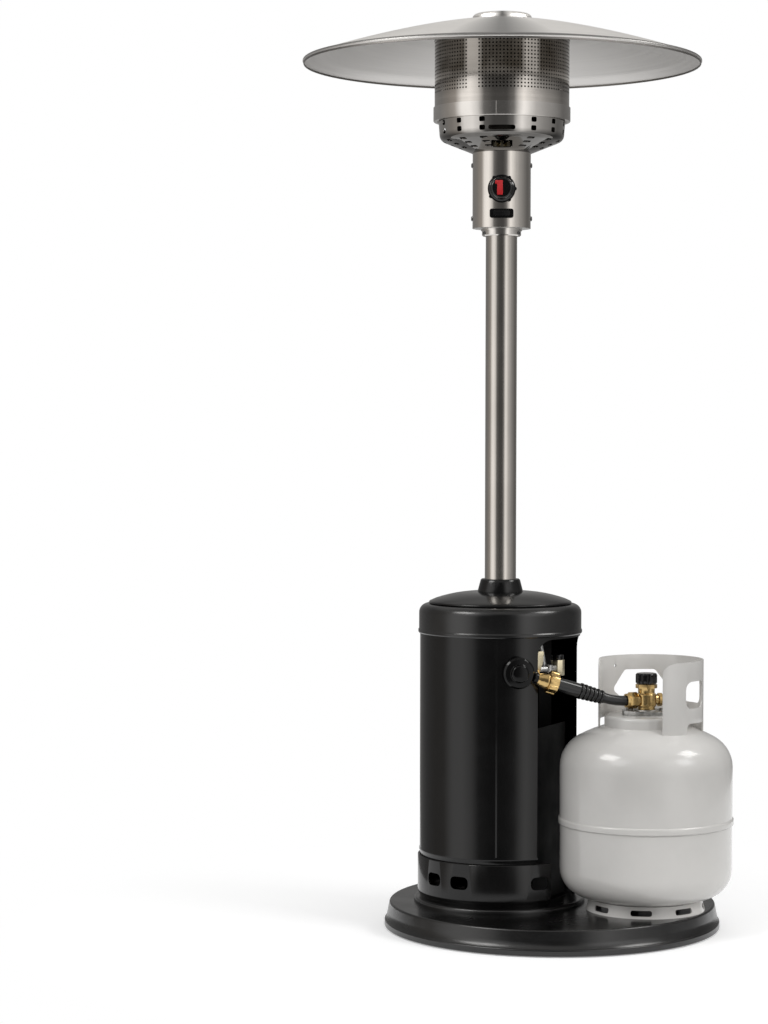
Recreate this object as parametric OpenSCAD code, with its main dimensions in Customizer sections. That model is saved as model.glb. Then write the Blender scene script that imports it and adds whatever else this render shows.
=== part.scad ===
// Floor-standing gas patio heater with its gas cylinder beside the housing.
// Millimetres, +Z up, +X to the right, the front faces -Y.
// Directions round an axis are degrees from the front, towards the right.

/* [Base] */
// Outer radius of the round base
base_r = 306; // [285:1:330]
// Height of the base top above the floor
base_h = 46; // [34:1:60]
// Sheet thickness of the base
base_wall = 3; // [2:0.5:5]
// Height of the rolled bead round the foot of the base
rim_h = 12; // [8:1:16]
// How far the bead stands out from the base wall
rim_out = 3; // [2:0.5:7]
// How far the base wall leans in between its bead and its top
base_draft = 5; // [0:0.5:8]
// Thickness of the rubber pad under the base
pad_t = 4; // [3:0.5:8]
// Height of the raised step under the housing
plinth_h = 8; // [4:1:14]

/* [Housing] */
// Heater axis, sideways from the base centre
heater_x = -96; // [-110:1:-90]
// Outer radius of the housing shell
housing_r = 146; // [138:1:150]
// Sheet thickness of the housing
housing_wall = 2; // [1:0.25:3]
// Height of the vented skirt
skirt_h = 78; // [60:1:100]
// Width of a vent in the skirt
vent_w = 36; // [24:1:42]
// Height of a vent in the skirt
vent_h = 23; // [14:1:30]
// Height of the housing shell
shell_h = 449; // [420:1:500]
// Direction of the middle of the doorway
door_mid = 66; // [62:1:70]
// Width of the doorway
door_w = 182; // [172:1:195]
// Corner radius of the doorway
door_round = 26; // [5:1:30]
// Shoulder radius of the housing cap
cap_round = 16; // [8:1:24]
// Rise of the lid from its edge to the post collar
lid_rise = 22; // [10:1:40]
// Height of the rolled edge round the lid
lid_edge = 5; // [3:0.5:8]
// Height of the post collar
post_collar_h = 23; // [12:1:40]

/* [Post] */
// Outer radius of the post
post_r = 28.5; // [22:0.5:34]
// Wall of the post
post_wall = 2; // [1:0.25:4]
// Length of the post
post_len = 732; // [500:1:1200]
// Height of the collar under the control housing
head_collar_h = 14; // [8:1:24]

/* [Controls] */
// Outer radius of the control housing
control_r = 52.8; // [48:0.2:60]
// Height of the control housing
control_h = 136; // [125:1:170]
// Sheet thickness of the control housing
control_wall = 1.5; // [1:0.25:2.5]
// Height of the knob axis above the bottom of the control housing
knob_up = 68; // [62:1:80]
// Radius of the knob grip
knob_r = 20.5; // [16:0.5:23]
// Travel of the knob when it is pushed in
knob_push = 4; // [2:0.5:5]
// Height of the igniter button above the bottom of the control housing
button_up = 24; // [20:0.5:28]
// Width of the igniter button
button_w = 30; // [22:1:33]
// Height of the igniter button
button_h = 9.6; // [7:0.2:11]
// Travel of the igniter button
button_push = 3; // [1:0.5:4]

/* [Burner] */
// Radius of the burner bowl
bowl_r = 115; // [105:1:119]
// Height of the burner bowl
bowl_h = 60; // [52:1:80]
// Sheet thickness of the bowl
bowl_wall = 1.5; // [1:0.25:2.5]
// Radius of the burner plate inside the emitter
burner_r = 88; // [70:1:100]
// Number of hole columns round the bowl
bowl_cols = 15; // [9:1:18]
// Outer radius of the emitter screen
emitter_r = 122; // [120:0.5:130]
// Height of the emitter screen
emitter_h = 142; // [100:1:180]
// Height of the polished band
band_h = 25; // [15:1:40]

/* [Hood] */
// Outer radius of the reflector hood
hood_r = 361; // [300:1:420]
// Rise of the hood from the lip to the middle
hood_rise = 73; // [40:1:110]
// Width of the steeper lip round the hood
lip_w = 18; // [10:1:30]
// Fall of the lip
lip_drop = 7; // [3:0.5:14]
// Sheet thickness of the hood
hood_wall = 1.5; // [1:0.25:3]
// Height of the hood above the emitter
hood_lift = 38; // [30:1:70]
// Radius of the cap in the middle of the hood
hood_cap_r = 54; // [50:1:70]

/* [Gas cylinder] */
// Cylinder axis, sideways from the base centre
tank_x = 166.5; // [160:0.5:168]
// Cylinder axis, front to back from the base centre
tank_y = -83; // [-84:0.5:-76]
// Outer radius of the cylinder
tank_r = 155; // [150:0.5:158]
// Wall of the cylinder
tank_wall = 3; // [2:0.25:5]
// Height of the straight side of the cylinder
tank_side = 183; // [150:1:230]
// Radius of the foot ring at the base
foot_r = 107; // [100:1:109]
// Radius of the guard round the valve
guard_r = 94; // [88:1:100]
// Height of the guard above the top of the dome
guard_h = 109; // [96:1:130]
// Wall of the guard
guard_wall = 3; // [2:0.25:5]
// How far the guard sits to the right of the cylinder axis
guard_shift = 8; // [0:0.5:10]
// Radius of the valve handwheel
wheel_r = 19.4; // [16:0.2:24]

/* [Gas line] */
// Direction of the regulator on the housing wall
reg_az = 12; // [8:0.5:14]
// Height of the regulator above the base top
reg_up = 430; // [425:1:436]
// Radius of the regulator
reg_r = 28; // [22:0.5:29]
// Outside diameter of the gas hose
hose_d = 18; // [12:0.5:18.5]
// Radius of the coupling nut over its lobes
nut_r = 21; // [18:0.5:22]
// Number of ribs on the strain relief
relief_ribs = 6; // [4:1:7]

/* [Clearances] */
// Gap between parts that are fixed together round a bore
fit = 0.15; // [0.1:0.05:0.3]
// Gap between a turning shaft and its bore
run_fit = 0.06; // [0.03:0.01:0.1]
// Gap between other parts that move past each other
slide_fit = 0.3; // [0.25:0.05:0.4]

/* [Hidden] */
$fn = 72;
pad_r = base_r - 20;
pan_z = pad_t / 2;
plinth_r = housing_r + 10;
z_plinth = base_h + plinth_h;
z_skirt = z_plinth + skirt_h;
z_shell = z_skirt - 10;
z_shell_top = z_shell + shell_h;
z_cap = z_shell_top - 35;
z_cap_top = z_shell_top + 2 + cap_round;
z_lid_top = z_cap_top + lid_rise;
z_socket = z_shell_top - 31;
socket_t = 4;
z_post = z_socket + socket_t;
z_post_top = z_post + post_len;
plate_t = 3;
z_head = z_post_top - plate_t - 3;
z_bowl = z_head + control_h;
z_emitter = z_bowl + bowl_h;
z_emitter_top = z_emitter + emitter_h;
emitter_lid_t = 4;
z_hood = z_emitter_top + emitter_lid_t + hood_lift;

skirt_in = housing_r + 0.5;
skirt_r = skirt_in + 3;
cap_wall = 1.7;
cap_r = housing_r + fit + cap_wall + 0.15;
lid_r = cap_r - cap_round - 2;
lid_wall = 2;
door_edge = door_mid - asin(door_w / 2 / housing_r);

leg_r = 100;
leg_az = [118, 238, 358];
leg_bolt = [8, 20];
panel_r = 96;
panel_w = 150;
panel_h = 316;

knob_z = z_head + knob_up;
button_z = z_head + button_up;
bezel_r = knob_r + 4.5;
bezel_out = control_r + 5.7;
valve_front = control_r - 13;
shaft_r = 4;
shaft_flat = 2.6;
knob_back = bezel_out + knob_push + 1;
knob_front = knob_back + 17;
shaft_tip = knob_front - 4 - knob_push;

tank_gap = 8;
low_l = tank_r * 2.58;
low_k = tank_r * 0.3226;
top_l = tank_r * 1.677;
top_k = tank_r * 0.387;
low_depth = head_depth(tank_r, low_l, low_k);
top_depth = head_depth(tank_r, top_l, top_k);
z_low = base_h + tank_gap + low_depth;
z_top = z_low + tank_side;
z_dome = z_top + top_depth;
belt_z = z_low + tank_side * 0.48;
belt_out = 2.4;
belt_round = 5;
belt_lean = acos(1 - belt_out / belt_round);
neck_r = 75;
neck_h = 8.5;
z_neck = z_dome + neck_h;
guard_gate = guard_r * 0.731;
flange_t = 10;
z_valve = z_neck + flange_t;
port_z = z_valve + 16.5;
z_bonnet = z_valve + 38;
z_wheel = z_bonnet + 8;
wheel_h = 19;
port_dir = [-20, -7.6];
port_len = 19;
tail_len = 21;

reg_z = base_h + reg_up;
reg_off = 11.5;
reg_at = [heater_x + (housing_r + reg_off) * sin(reg_az),
          -(housing_r + reg_off) * cos(reg_az), reg_z];
line_dir = [12, 3.5, -3.75];
hose_r = hose_d / 2;
hose_bore = hose_r + 0.3;
line_r = hose_bore + 2.7;
rib_r = hose_bore + 5.3;
s_block = 36;
s_nut = 56;
nut_len = 17;
neck_len = 13;
s_sleeve = s_nut + neck_len;
s_relief = 118;
rib_pitch = 8;
relief_len = relief_ribs * rib_pitch;
pipe_r = 5;
union_at = [104, -40, reg_z];
nipple_in = housing_r - 18;

// The hose runs straight out of its sleeve and bends level into the cylinder valve.
hose_route = [
    [9, -133, 453.5], [21, -129.5, 449.75], [33, -126, 446], [45, -122.5, 442.25],
    [57, -119, 438.5], [69, -115.5, 434.75], [81, -112, 431], [93, -108.5, 427.25],
    [99, -106.7, 425.6], [105, -104.9, 424.3], [111, -103.1, 423.3], [117, -101.2, 422.6],
    [123, -99.3, 422.2], [129, -97.2, 422], [134, -95.3, 422], [139, -93.4, 422], [144, -91.5, 422]
];

// Depth of a dished end with a round crown and a round knuckle
function head_depth(r, l, k) = l - sqrt(pow(l - k, 2) - pow(r - k, 2));
// Half-profile of a dished end from the middle out, rising from zero
function head_pts(r, l, k) = let (a = asin((r - k) / (l - k)), d = head_depth(r, l, k))
    concat([for (i = [0:9]) [l * sin(a * i / 9), d - l + l * cos(a * i / 9)]],
           [for (i = [1:7]) [r - k + k * sin(a + (90 - a) * i / 7), k * cos(a + (90 - a) * i / 7)]]);
function arc(c, r, a0, a1, n) =
    [for (i = [0:n]) c + r * [cos(a0 + (a1 - a0) * i / n), sin(a0 + (a1 - a0) * i / n)]];
function unit(v) = v / norm(v);
function turn(a) = a > 180 ? a - 360 : a < -180 ? a + 360 : a;
function corner(p, q, s, r, n) = let (
        a = unit(p - q), b = unit(s - q), h = acos(a * b) / 2, c = q + unit(a + b) * r / sin(h),
        f = q + a * r / tan(h) - c, t = q + b * r / tan(h) - c,
        a0 = atan2(f.y, f.x), da = turn(atan2(t.y, t.x) - a0))
    [for (i = [0:n]) c + r * [cos(a0 + da * i / n), sin(a0 + da * i / n)]];
function rounded(p, r, n = 4) = let (m = len(p))
    [for (i = [0:m - 1]) each corner(p[(i + m - 1) % m], p[i], p[(i + 1) % m], r, n)];
function box_pts(w, h) = [[-w / 2, -h / 2], [w / 2, -h / 2], [w / 2, h / 2], [-w / 2, h / 2]];
function swap(p, s) = [for (v = p) [v.x, s * v.y]];
function rev(p) = [for (i = [len(p) - 1:-1:0]) p[i]];
function up(p, z) = [for (v = p) [v.x, v.y + z]];
function hood_z(r) = z_hood - hood_rise * pow(r / (hood_r - lip_w), 1.5);
function dirxy(a) = [sin(a), -cos(a)];
function dome_z(r) = z_dome - top_l + sqrt(pow(top_l, 2) - pow(r, 2));

module at_heater() translate([heater_x, 0, 0]) children();
module at_tank() translate([tank_x, tank_y, 0]) children();
module at_guard() translate([tank_x + guard_shift, tank_y, 0]) children();
// Turns a piece drawn flat so that its own up points outward from the axis
module outward(az, r, z) rotate([0, 0, az]) translate([0, -r, z]) rotate([90, 0, 0]) children();
module tube(ro, ri, z0, z1) translate([0, 0, z0]) difference() {
    cylinder(r = ro, h = z1 - z0);
    translate([0, 0, -1]) cylinder(r = ri, h = z1 - z0 + 2);
}
module rod(p, q, r) {
    d = q - p;
    translate(p)
        rotate([0, acos(d.z / norm(d)), atan2(d.y, d.x)])
            cylinder(r = r, h = norm(d));
}
// Joins straight lengths with ball elbows, or with upright bosses where the lengths lie level
module pipe(p, r, level = false) {
    for (i = [0:len(p) - 2]) rod(p[i], p[i + 1], r);
    for (i = [1:len(p) - 2]) translate(p[i])
        if (level) cylinder(r = r * 1.45, h = r * 2.7, center = true);
        else sphere(r = r + 0.3);
}
// Places a piece on the gas line, its own up pointing along the line
module on_line(s) {
    d = unit(line_dir);
    translate(reg_at + s * d) rotate([0, acos(d.z), atan2(d.y, d.x)]) children();
}
// Places a piece on the inlet of the cylinder valve, its own up pointing outward
module on_port(s) {
    d = unit(port_dir);
    at_tank() translate([s * d.x, s * d.y, port_z]) rotate([0, 90, atan2(d.y, d.x)]) children();
}
module leg_frame(az) at_heater() rotate([0, 0, az]) translate([0, -leg_r, 0]) children();
// Cone that trims the foot of the guard to the dish of the cylinder
module dome_cut() at_tank() {
    r0 = guard_r + guard_shift + 6;
    r1 = guard_r - guard_wall - guard_shift - 4;
    translate([0, 0, dome_z(r0) + 0.5]) cylinder(r1 = r0, r2 = r1, h = dome_z(r1) - dome_z(r0));
}

module base_pad() color("#202020") cylinder(r = pad_r, h = pad_t);

module base_pan() color("#1b1b1d") difference() {
    union() {
        rotate_extrude() polygon(concat(
            [[base_r - rim_out - base_wall, pan_z], [base_r - 1, pan_z], [base_r, pan_z + 1]],
            arc([base_r - 3, pan_z + rim_h - 3], 3, 0, 90, 5),
            [[base_r - rim_out, pan_z + rim_h]],
            arc([base_r - rim_out - base_draft - 4.5, base_h - 4], 4, 8, 90, 6),
            [[0, base_h], [0, base_h - base_wall],
             [base_r - rim_out - base_draft - base_wall - 4.5, base_h - base_wall],
             [base_r - rim_out - base_wall, pan_z + rim_h]]));
        at_heater() rotate_extrude() polygon(concat(
            [[0, base_h - base_wall / 2], [plinth_r, base_h - base_wall / 2], [plinth_r, base_h + 1]],
            arc([plinth_r - 5, z_plinth - 5], 5, 10, 90, 5),
            [[0, z_plinth]]));
    }
    for (a = leg_az) leg_frame(a)
        translate([leg_bolt.x, leg_bolt.y, base_h - base_wall - 1])
            cylinder(r = 4 + fit, h = plinth_h + base_wall + 2);
}

module ballast() color("#6d6a66")
    translate([0, 0, pad_t]) cylinder(r = base_r - rim_out - base_draft - 16, h = base_h - base_wall - pad_t);

module skirt_ring() color("#1b1b1d") at_heater() difference() {
    rotate_extrude() polygon(concat(
        [[skirt_in - 5, z_plinth], [skirt_r - 4, z_plinth]],
        arc([skirt_r - 12, z_plinth + 14], 12, -40, 0, 4),
        [[skirt_r, z_skirt - 1], [skirt_r - 1, z_skirt], [skirt_in, z_skirt], [skirt_in, z_shell],
         [housing_r - housing_wall - 2, z_shell], [housing_r - housing_wall - 2, z_shell - 3],
         [skirt_in, z_shell - 7], [skirt_in, z_plinth + 14]]));
    outward(door_mid + 6.5, 0, 0) translate([0, z_skirt / 2, 30])
        linear_extrude(skirt_r) square([door_w - 12, z_skirt * 2], center = true);
    for (a = [-52, -29, 29, 128, 151, 209, 232])
        outward(a, skirt_r - 12, z_plinth + skirt_h * 0.56)
            linear_extrude(24) polygon(rounded(box_pts(vent_w, vent_h), min(vent_w, vent_h) * 0.4));
}

module housing_shell() color("#19191b") at_heater() difference() {
    rotate_extrude() polygon([
        [housing_r - housing_wall, z_shell], [housing_r, z_shell],
        [housing_r, z_skirt + 6], [housing_r + 1.2, z_skirt + 8], [housing_r + 1.2, z_skirt + 11],
        [housing_r, z_skirt + 13], [housing_r, z_shell_top], [housing_r - housing_wall, z_shell_top]]);
    outward(door_mid, 0, 0) linear_extrude(housing_r * 1.5) polygon(concat(
        [[-door_w / 2, z_shell - 5], [door_w / 2, z_shell - 5]],
        arc([door_w / 2 - door_round, z_cap - 4 - door_round], door_round, 0, 90, 5),
        arc([door_round - door_w / 2, z_cap - 4 - door_round], door_round, 90, 180, 5)));
    outward(reg_az, 0, reg_z) cylinder(r = 7 + fit, h = housing_r * 1.2);
}

module housing_cap() color("#19191b") at_heater() rotate_extrude() polygon(concat(
    [[housing_r + fit, z_cap], [cap_r, z_cap], [cap_r + 1.4, z_cap + 2], [cap_r + 1.4, z_cap + 6],
     [cap_r, z_cap + 8]],
    arc([cap_r - cap_round, z_cap_top - cap_round], cap_round, 0, 90, 8),
    [[lid_r - 12, z_cap_top], [lid_r - 12, z_cap_top - cap_wall]],
    rev(arc([cap_r - cap_round, z_cap_top - cap_round], cap_round - cap_wall,
            acos((housing_r - housing_wall - 0.5 - cap_r + cap_round) / (cap_round - cap_wall)), 90, 6)),
    [[housing_r - housing_wall - 0.5, z_shell_top], [housing_r + fit, z_shell_top]]));

module housing_lid() color("#1d1d1f") at_heater() rotate_extrude() polygon(concat(
    [for (k = [0:7]) lid_pt(k) - [0, lid_wall]],
    [[lid_r - lid_edge, z_cap_top + lid_edge / 5], [lid_r - lid_edge, z_cap_top]],
    arc([lid_r - lid_edge / 2, z_cap_top + lid_edge / 2], lid_edge / 2, -90, 60, 6),
    [for (k = [7:-1:0]) lid_pt(k)],
    [[post_r + 2, z_lid_top], [post_r + 2, z_lid_top - lid_wall]]));
// Point on the crowned lid, from the collar outward in eighths
function lid_pt(k) = [post_r + 14 + (lid_r - post_r - 14) * k / 8,
                      z_lid_top - (lid_rise - lid_edge) * pow(k / 8, 2)];

module post_collar() color("#141416") at_heater() rotate_extrude() polygon([
    [post_r + fit, z_lid_top], [post_r + 12.5, z_lid_top], [post_r + 12.5, z_lid_top + 2],
    [post_r + 7.5, z_lid_top + post_collar_h - 2], [post_r + 5.5, z_lid_top + post_collar_h],
    [post_r + fit, z_lid_top + post_collar_h]]);

module support_legs() color("#2a2a2c") for (a = leg_az) leg_frame(a) difference() {
    union() {
        translate([-20, -6, z_plinth]) cube([40, 40, 4]);
        translate([-13, 0, z_plinth]) cube([26, 3, z_socket - z_plinth]);
        translate([-13, 0, z_plinth]) cube([3, 26, z_socket - z_plinth]);
    }
    translate([leg_bolt.x, leg_bolt.y, z_plinth - 1]) cylinder(r = 4 + fit, h = 6);
}

module leg_bolts() color("#b9b9b6") for (a = leg_az) leg_frame(a) translate([leg_bolt.x, leg_bolt.y, 0]) {
    translate([0, 0, base_h - base_wall + 1]) cylinder(r = 4, h = plinth_h + base_wall + 4);
    translate([0, 0, z_plinth + 4]) cylinder(r = 7.5, h = 5.3, $fn = 6);
}

module post_socket() color("#2a2a2c") at_heater() {
    tube(leg_r + 12, 18, z_socket, z_post);
    tube(post_r + fit + 4, post_r + fit, z_socket + socket_t / 2, z_post + 40);
}

module inner_panel() color("#101012") at_heater() rotate([0, 0, door_mid]) {
    translate([-panel_w / 2, -panel_r - 2, z_plinth]) cube([panel_w, 2, panel_h]);
    translate([-panel_w / 2, -panel_r - 14, z_plinth]) cube([panel_w, 14, 2]);
}

module post_tube() color("#a8a39b") at_heater() tube(post_r, post_r - post_wall, z_post, z_post_top);

module head_collar() color("#c9c7c2") at_heater() difference() {
    rotate_extrude() polygon([
        [post_r + fit, z_head - head_collar_h], [post_r + 5, z_head - head_collar_h],
        [post_r + 7, z_head - head_collar_h + 2], [post_r + 7, z_head - 4], [post_r + 9, z_head - 4],
        [post_r + 9, z_head], [post_r + fit, z_head]]);
    for (a = [-60, 60, 180]) outward(a, post_r, z_head - 4 - (head_collar_h - 4) / 2)
        cylinder(r = 1.6 + fit, h = 20);
}

module control_housing() color("#b3aea6") at_heater() difference() {
    tube(control_r, control_r - control_wall, z_head, z_bowl);
    outward(0, 0, knob_z) cylinder(r = 11.5 + fit, h = control_r * 1.2);
    outward(0, 0, button_z) linear_extrude(control_r * 1.2)
        polygon(rounded(box_pts(button_w + 4.2 + 2 * fit, button_h + 4.2 + 2 * fit), 3));
    for (a = [-90, 90], z = [z_head + 18, z_bowl - 22])
        outward(a, 0, z) cylinder(r = 1.8 + fit, h = control_r * 1.2);
}

module control_plate() color("#9a968f") at_heater()
    tube(control_r - control_wall - fit, post_r + fit, z_head, z_head + plate_t);

module head_screws() color("#8f8d88") at_heater() {
    for (a = [-90, 90], z = [z_head + 18, z_bowl - 22]) outward(a, control_r, z) {
        translate([0, 0, -6]) cylinder(r = 1.8, h = 7);
        translate([0, 0, fit]) rotate_extrude() polygon(concat(
            [[0, 0], [4.6, 0]], arc([3.2, 1], 1.4, 0, 90, 4), [[0, 2.4]]));
    }
    for (a = [-60, 60, 180]) outward(a, post_r, z_head - 4 - (head_collar_h - 4) / 2) {
        translate([0, 0, fit]) cylinder(r = 1.6, h = 8);
        translate([0, 0, 7]) cylinder(r = 3.2, h = 2.6, $fn = 6);
    }
}

module gas_valve() color("#b8b6b0") at_heater() difference() {
    union() {
        outward(0, 0, knob_z) translate([0, 0, valve_front - 38]) linear_extrude(30)
            polygon(rounded(box_pts(40, 46), 5));
        outward(0, 0, knob_z) translate([0, 0, valve_front - 9]) cylinder(r = 13, h = 9);
        translate([0, 0, knob_z - 26]) cylinder(r = 11, h = 12);
        translate([0, 0, knob_z + 14]) cylinder(r = 9, h = 14);
    }
    outward(0, 0, knob_z) translate([0, 0, valve_front - 26]) cylinder(r = shaft_r + run_fit, h = 40);
}

module knob_bezel() color("#141414") at_heater() difference() {
    union() {
        difference() {
            outward(0, 0, knob_z) translate([0, 0, control_r - 10]) union() {
                cylinder(r = bezel_r, h = bezel_out - control_r + 10);
                for (a = [0, 55, 125, 215, 305]) rotate([0, 0, a])
                    translate([bezel_r - 1, 0, 0]) cylinder(r = 3.2, h = bezel_out - control_r + 8.5);
            }
            translate([0, 0, z_head - 5]) cylinder(r = control_r + fit, h = control_h + 10);
        }
        outward(0, 0, knob_z) translate([0, 0, valve_front]) cylinder(r = 11.5, h = 16);
    }
    outward(0, 0, knob_z) translate([0, 0, valve_front - 1])
        cylinder(r = shaft_r + slide_fit, h = bezel_out - valve_front + 2);
}

module knob_shaft() color("#c7c5bf") at_heater() outward(0, 0, knob_z) difference() {
    translate([0, 0, valve_front - 24]) cylinder(r = shaft_r, h = shaft_tip - valve_front + 24);
    translate([-10, shaft_flat, bezel_out]) cube([20, 10, 40]);
}

module control_knob() color("#161616") at_heater() outward(0, 0, knob_z) difference() {
    union() {
        rotate_extrude() polygon(concat(
            [[0, knob_back], [knob_r + 2.5, knob_back], [knob_r + 2.5, knob_back + 2.5],
             [knob_r, knob_back + 4.5]],
            arc([knob_r - 5, knob_front - 4], 4, 8, 90, 6),
            [[0, knob_front]]));
    }
    for (a = [15:30:345]) rotate([0, 0, a]) translate([knob_r + 2.2, 0, knob_back + 4.5])
        cylinder(r = 3, h = 30);
    difference() {
        translate([0, 0, knob_back - 1])
            cylinder(r = shaft_r + run_fit, h = shaft_tip - knob_back + knob_push + 1.5);
        translate([-10, shaft_flat + run_fit, knob_back - 2]) cube([20, 10, 40]);
    }
    translate([-3, 0, knob_front - 1.4]) linear_extrude(3) polygon(rounded(pointer_pts(fit), 1.5));
}

// Outline of the red pointer on the knob: an upright bar with a short flag at the top
function pointer_pts(g) = let (h = knob_r * 0.64, w = knob_r * 0.25)
    [[-w - g, -h - g], [w + g, -h - g], [w + g, h + g], [-w - 3.6 - g, h + g], [-w - 3.6 - g, h * 0.5 - g],
     [-w - g, h * 0.5 - g]];

module knob_pointer() color("#c8242c") at_heater() outward(0, 0, knob_z)
    translate([-3, 0, knob_front - 1.4]) linear_extrude(2.6) polygon(rounded(pointer_pts(0), 1.4));

module igniter_bezel() color("#141414") at_heater() difference() {
    union() {
        difference() {
            outward(0, 0, button_z) translate([0, 0, control_r - 10]) linear_extrude(14.2)
                polygon(rounded(box_pts(button_w + 13, button_h + 7), 4));
            translate([0, 0, z_head - 5]) cylinder(r = control_r + fit, h = control_h + 10);
        }
        outward(0, 0, button_z) translate([0, 0, control_r - 10]) linear_extrude(12)
            polygon(rounded(box_pts(button_w + 4.2, button_h + 4.2), 2.9));
    }
    outward(0, 0, button_z) translate([0, 0, control_r - 12]) linear_extrude(30)
        polygon(rounded(box_pts(button_w + 2 * slide_fit, button_h + 2 * slide_fit), 2.3));
}

module igniter_button() color("#1a1a1a") at_heater() outward(0, 0, button_z)
    translate([0, 0, control_r - 10 + button_push + 0.6])
        linear_extrude(13.4 - 0.6) polygon(rounded(box_pts(button_w, button_h), 2));

module igniter_module() color("#c9b98f") at_heater() outward(0, 0, button_z) {
    translate([0, 0, control_r - 23]) linear_extrude(13)
        polygon(rounded(box_pts(button_w + 4.2, button_h + 4.2), 2.9));
}

module tilt_switch() color("#d9d6cf") at_heater()
    translate([-10, post_r + 3, z_head + plate_t]) cube([20, control_r - control_wall - post_r - 8, 24]);

module burner_bowl() color("#bdbab4") at_heater() difference() {
    rotate_extrude() polygon(concat(
        [[20, z_bowl], [control_r + 1.5, z_bowl]],
        rev(arc([bowl_r - 16, z_bowl + bowl_h * 0.55], 14, 0, -69, 8)),
        [[bowl_r, z_emitter - 1.5], [emitter_r, z_emitter - 1.5], [emitter_r, z_emitter],
         [bowl_r - bowl_wall, z_emitter]],
        arc([bowl_r - 16, z_bowl + bowl_h * 0.55], 14 - bowl_wall, 0, -69, 8),
        [[control_r + 1, z_bowl + bowl_wall], [20, z_bowl + bowl_wall]]));
    for (i = [0:bowl_cols - 1]) let (a = -42 + i * 360 / bowl_cols) if (abs(turn(a)) > 14) {
        for (z = [0.6, 0.85]) outward(a, bowl_r - 10, z_bowl + bowl_h * z)
            linear_extrude(16) polygon(rounded(box_pts(10.7, 9), 2.5, 3));
        for (r = [74, 89, 103]) rotate([0, 0, a]) translate([0, -r * bowl_r / 115, z_bowl - 2])
            linear_extrude(bowl_h * 0.5) polygon(rounded(box_pts(15, 7), 2.8, 3));
    }
    outward(0, bowl_r - 10, z_bowl + bowl_h * 0.6) linear_extrude(16) polygon(rounded(box_pts(48, 8), 3, 3));
    translate([0, -bowl_r * 0.68, z_bowl + 1.7]) linear_extrude(bowl_h * 0.35)
        polygon(rounded(box_pts(38, 26), 3, 3));
}

module bowl_band() color("#d0cec9") at_heater() rotate_extrude() polygon([
    [bowl_r + 2.5, z_emitter - 3.2], [emitter_r + 1.5, z_emitter - 3.2], [emitter_r + 2.2, z_emitter - 2],
    [emitter_r + 2.2, z_emitter - 3.2 + band_h], [emitter_r + fit, z_emitter - 3.2 + band_h],
    [emitter_r + fit, z_emitter - 1.5], [bowl_r + 2.5, z_emitter - 1.5]]);

module emitter_screen() color("#8f867a") at_heater()
    tube(emitter_r, emitter_r - 1.2, z_emitter, z_emitter_top);

module emitter_top() color("#8f867a") at_heater() difference() {
    rotate_extrude() polygon([
        [0, z_emitter_top], [emitter_r + 1, z_emitter_top], [emitter_r + 1, z_emitter_top + 3],
        [emitter_r, z_emitter_top + emitter_lid_t], [0, z_emitter_top + emitter_lid_t]]);
    for (a = [0, 120, 240]) rotate([0, 0, a]) translate([0, 38, z_emitter_top - 1])
        cylinder(r = 3 + fit, h = emitter_lid_t + 2);
}

module venturi() color("#9c988f") at_heater() difference() {
    union() {
        tube(12, 9 + fit, knob_z + 23.5, z_bowl + bowl_wall);
        tube(24, 9 + fit, z_bowl + bowl_wall, z_bowl + bowl_wall + 3);
        tube(12, 9 + fit, z_bowl + bowl_wall + 1, z_emitter + 8);
    }
    for (a = [45:90:315]) outward(a, 0, z_bowl - 22) cylinder(r = 3.5, h = 20);
}

module burner_head() color("#77736b") at_heater() difference() {
    union() {
        tube(burner_r, 12 + fit, z_emitter + 4, z_emitter + 8);
        tube(burner_r, burner_r - 3, z_emitter + 4, z_emitter + 24);
        translate([0, 0, z_emitter + 22]) cylinder(r = burner_r, h = 3);
    }
    for (a = [0:20:340]) outward(a, burner_r - 28, z_emitter + 15) cylinder(r = 2.5, h = 40);
}

module pilot_set() color("#b08d4a") at_heater() {
    translate([0, -42, z_bowl + bowl_wall]) {
        translate([-18, -6, 0]) cube([36, 12, 3]);
        translate([0, 0, 2]) cylinder(r = 4, h = 34);
        translate([0, 0, 2]) cylinder(r = 7, h = 9, $fn = 6);
        translate([-12, 0, 2]) cylinder(r = 3, h = 40);
        translate([-12, 0, 2]) cylinder(r = 5.5, h = 12, $fn = 6);
        translate([12, 0, 2]) cylinder(r = 2.4, h = 44);
        translate([12, 0, 2]) cylinder(r = 5.5, h = 12, $fn = 6);
    }
}

module reflector_hood() color("#bdbab5") at_heater() difference() {
    rotate_extrude() polygon(concat(
        [for (i = [0:16]) let (r = 4 + (hood_r - lip_w - 4) * i / 16) [r, hood_z(r)]],
        arc([hood_r - 3, hood_z(hood_r - lip_w) - lip_drop], 3, 75, -120, 9),
        rev([for (i = [0:16]) let (r = 4 + (hood_r - lip_w - 4) * i / 16) [r, hood_z(r) - hood_wall]])));
    for (a = [0, 120, 240]) rotate([0, 0, a]) translate([0, 38, z_hood - 20])
        cylinder(r = 3 + fit, h = 30);
}

module hood_studs() color("#8d8a84") at_heater() for (a = [0, 120, 240]) rotate([0, 0, a])
    translate([0, 38, 0]) {
        translate([0, 0, z_emitter_top - 4]) cylinder(r = 3, h = hood_z(38) - z_emitter_top + 9);
        translate([0, 0, z_emitter_top + emitter_lid_t])
            cylinder(r = 6, h = hood_z(44) - hood_wall - z_emitter_top - emitter_lid_t - 0.05);
        translate([0, 0, z_emitter_top - 4]) cylinder(r = 5.5, h = 4, $fn = 6);
        translate([0, 0, hood_z(32.5) + 0.05]) cylinder(r = 5.5, h = 4, $fn = 6);
    }

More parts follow.
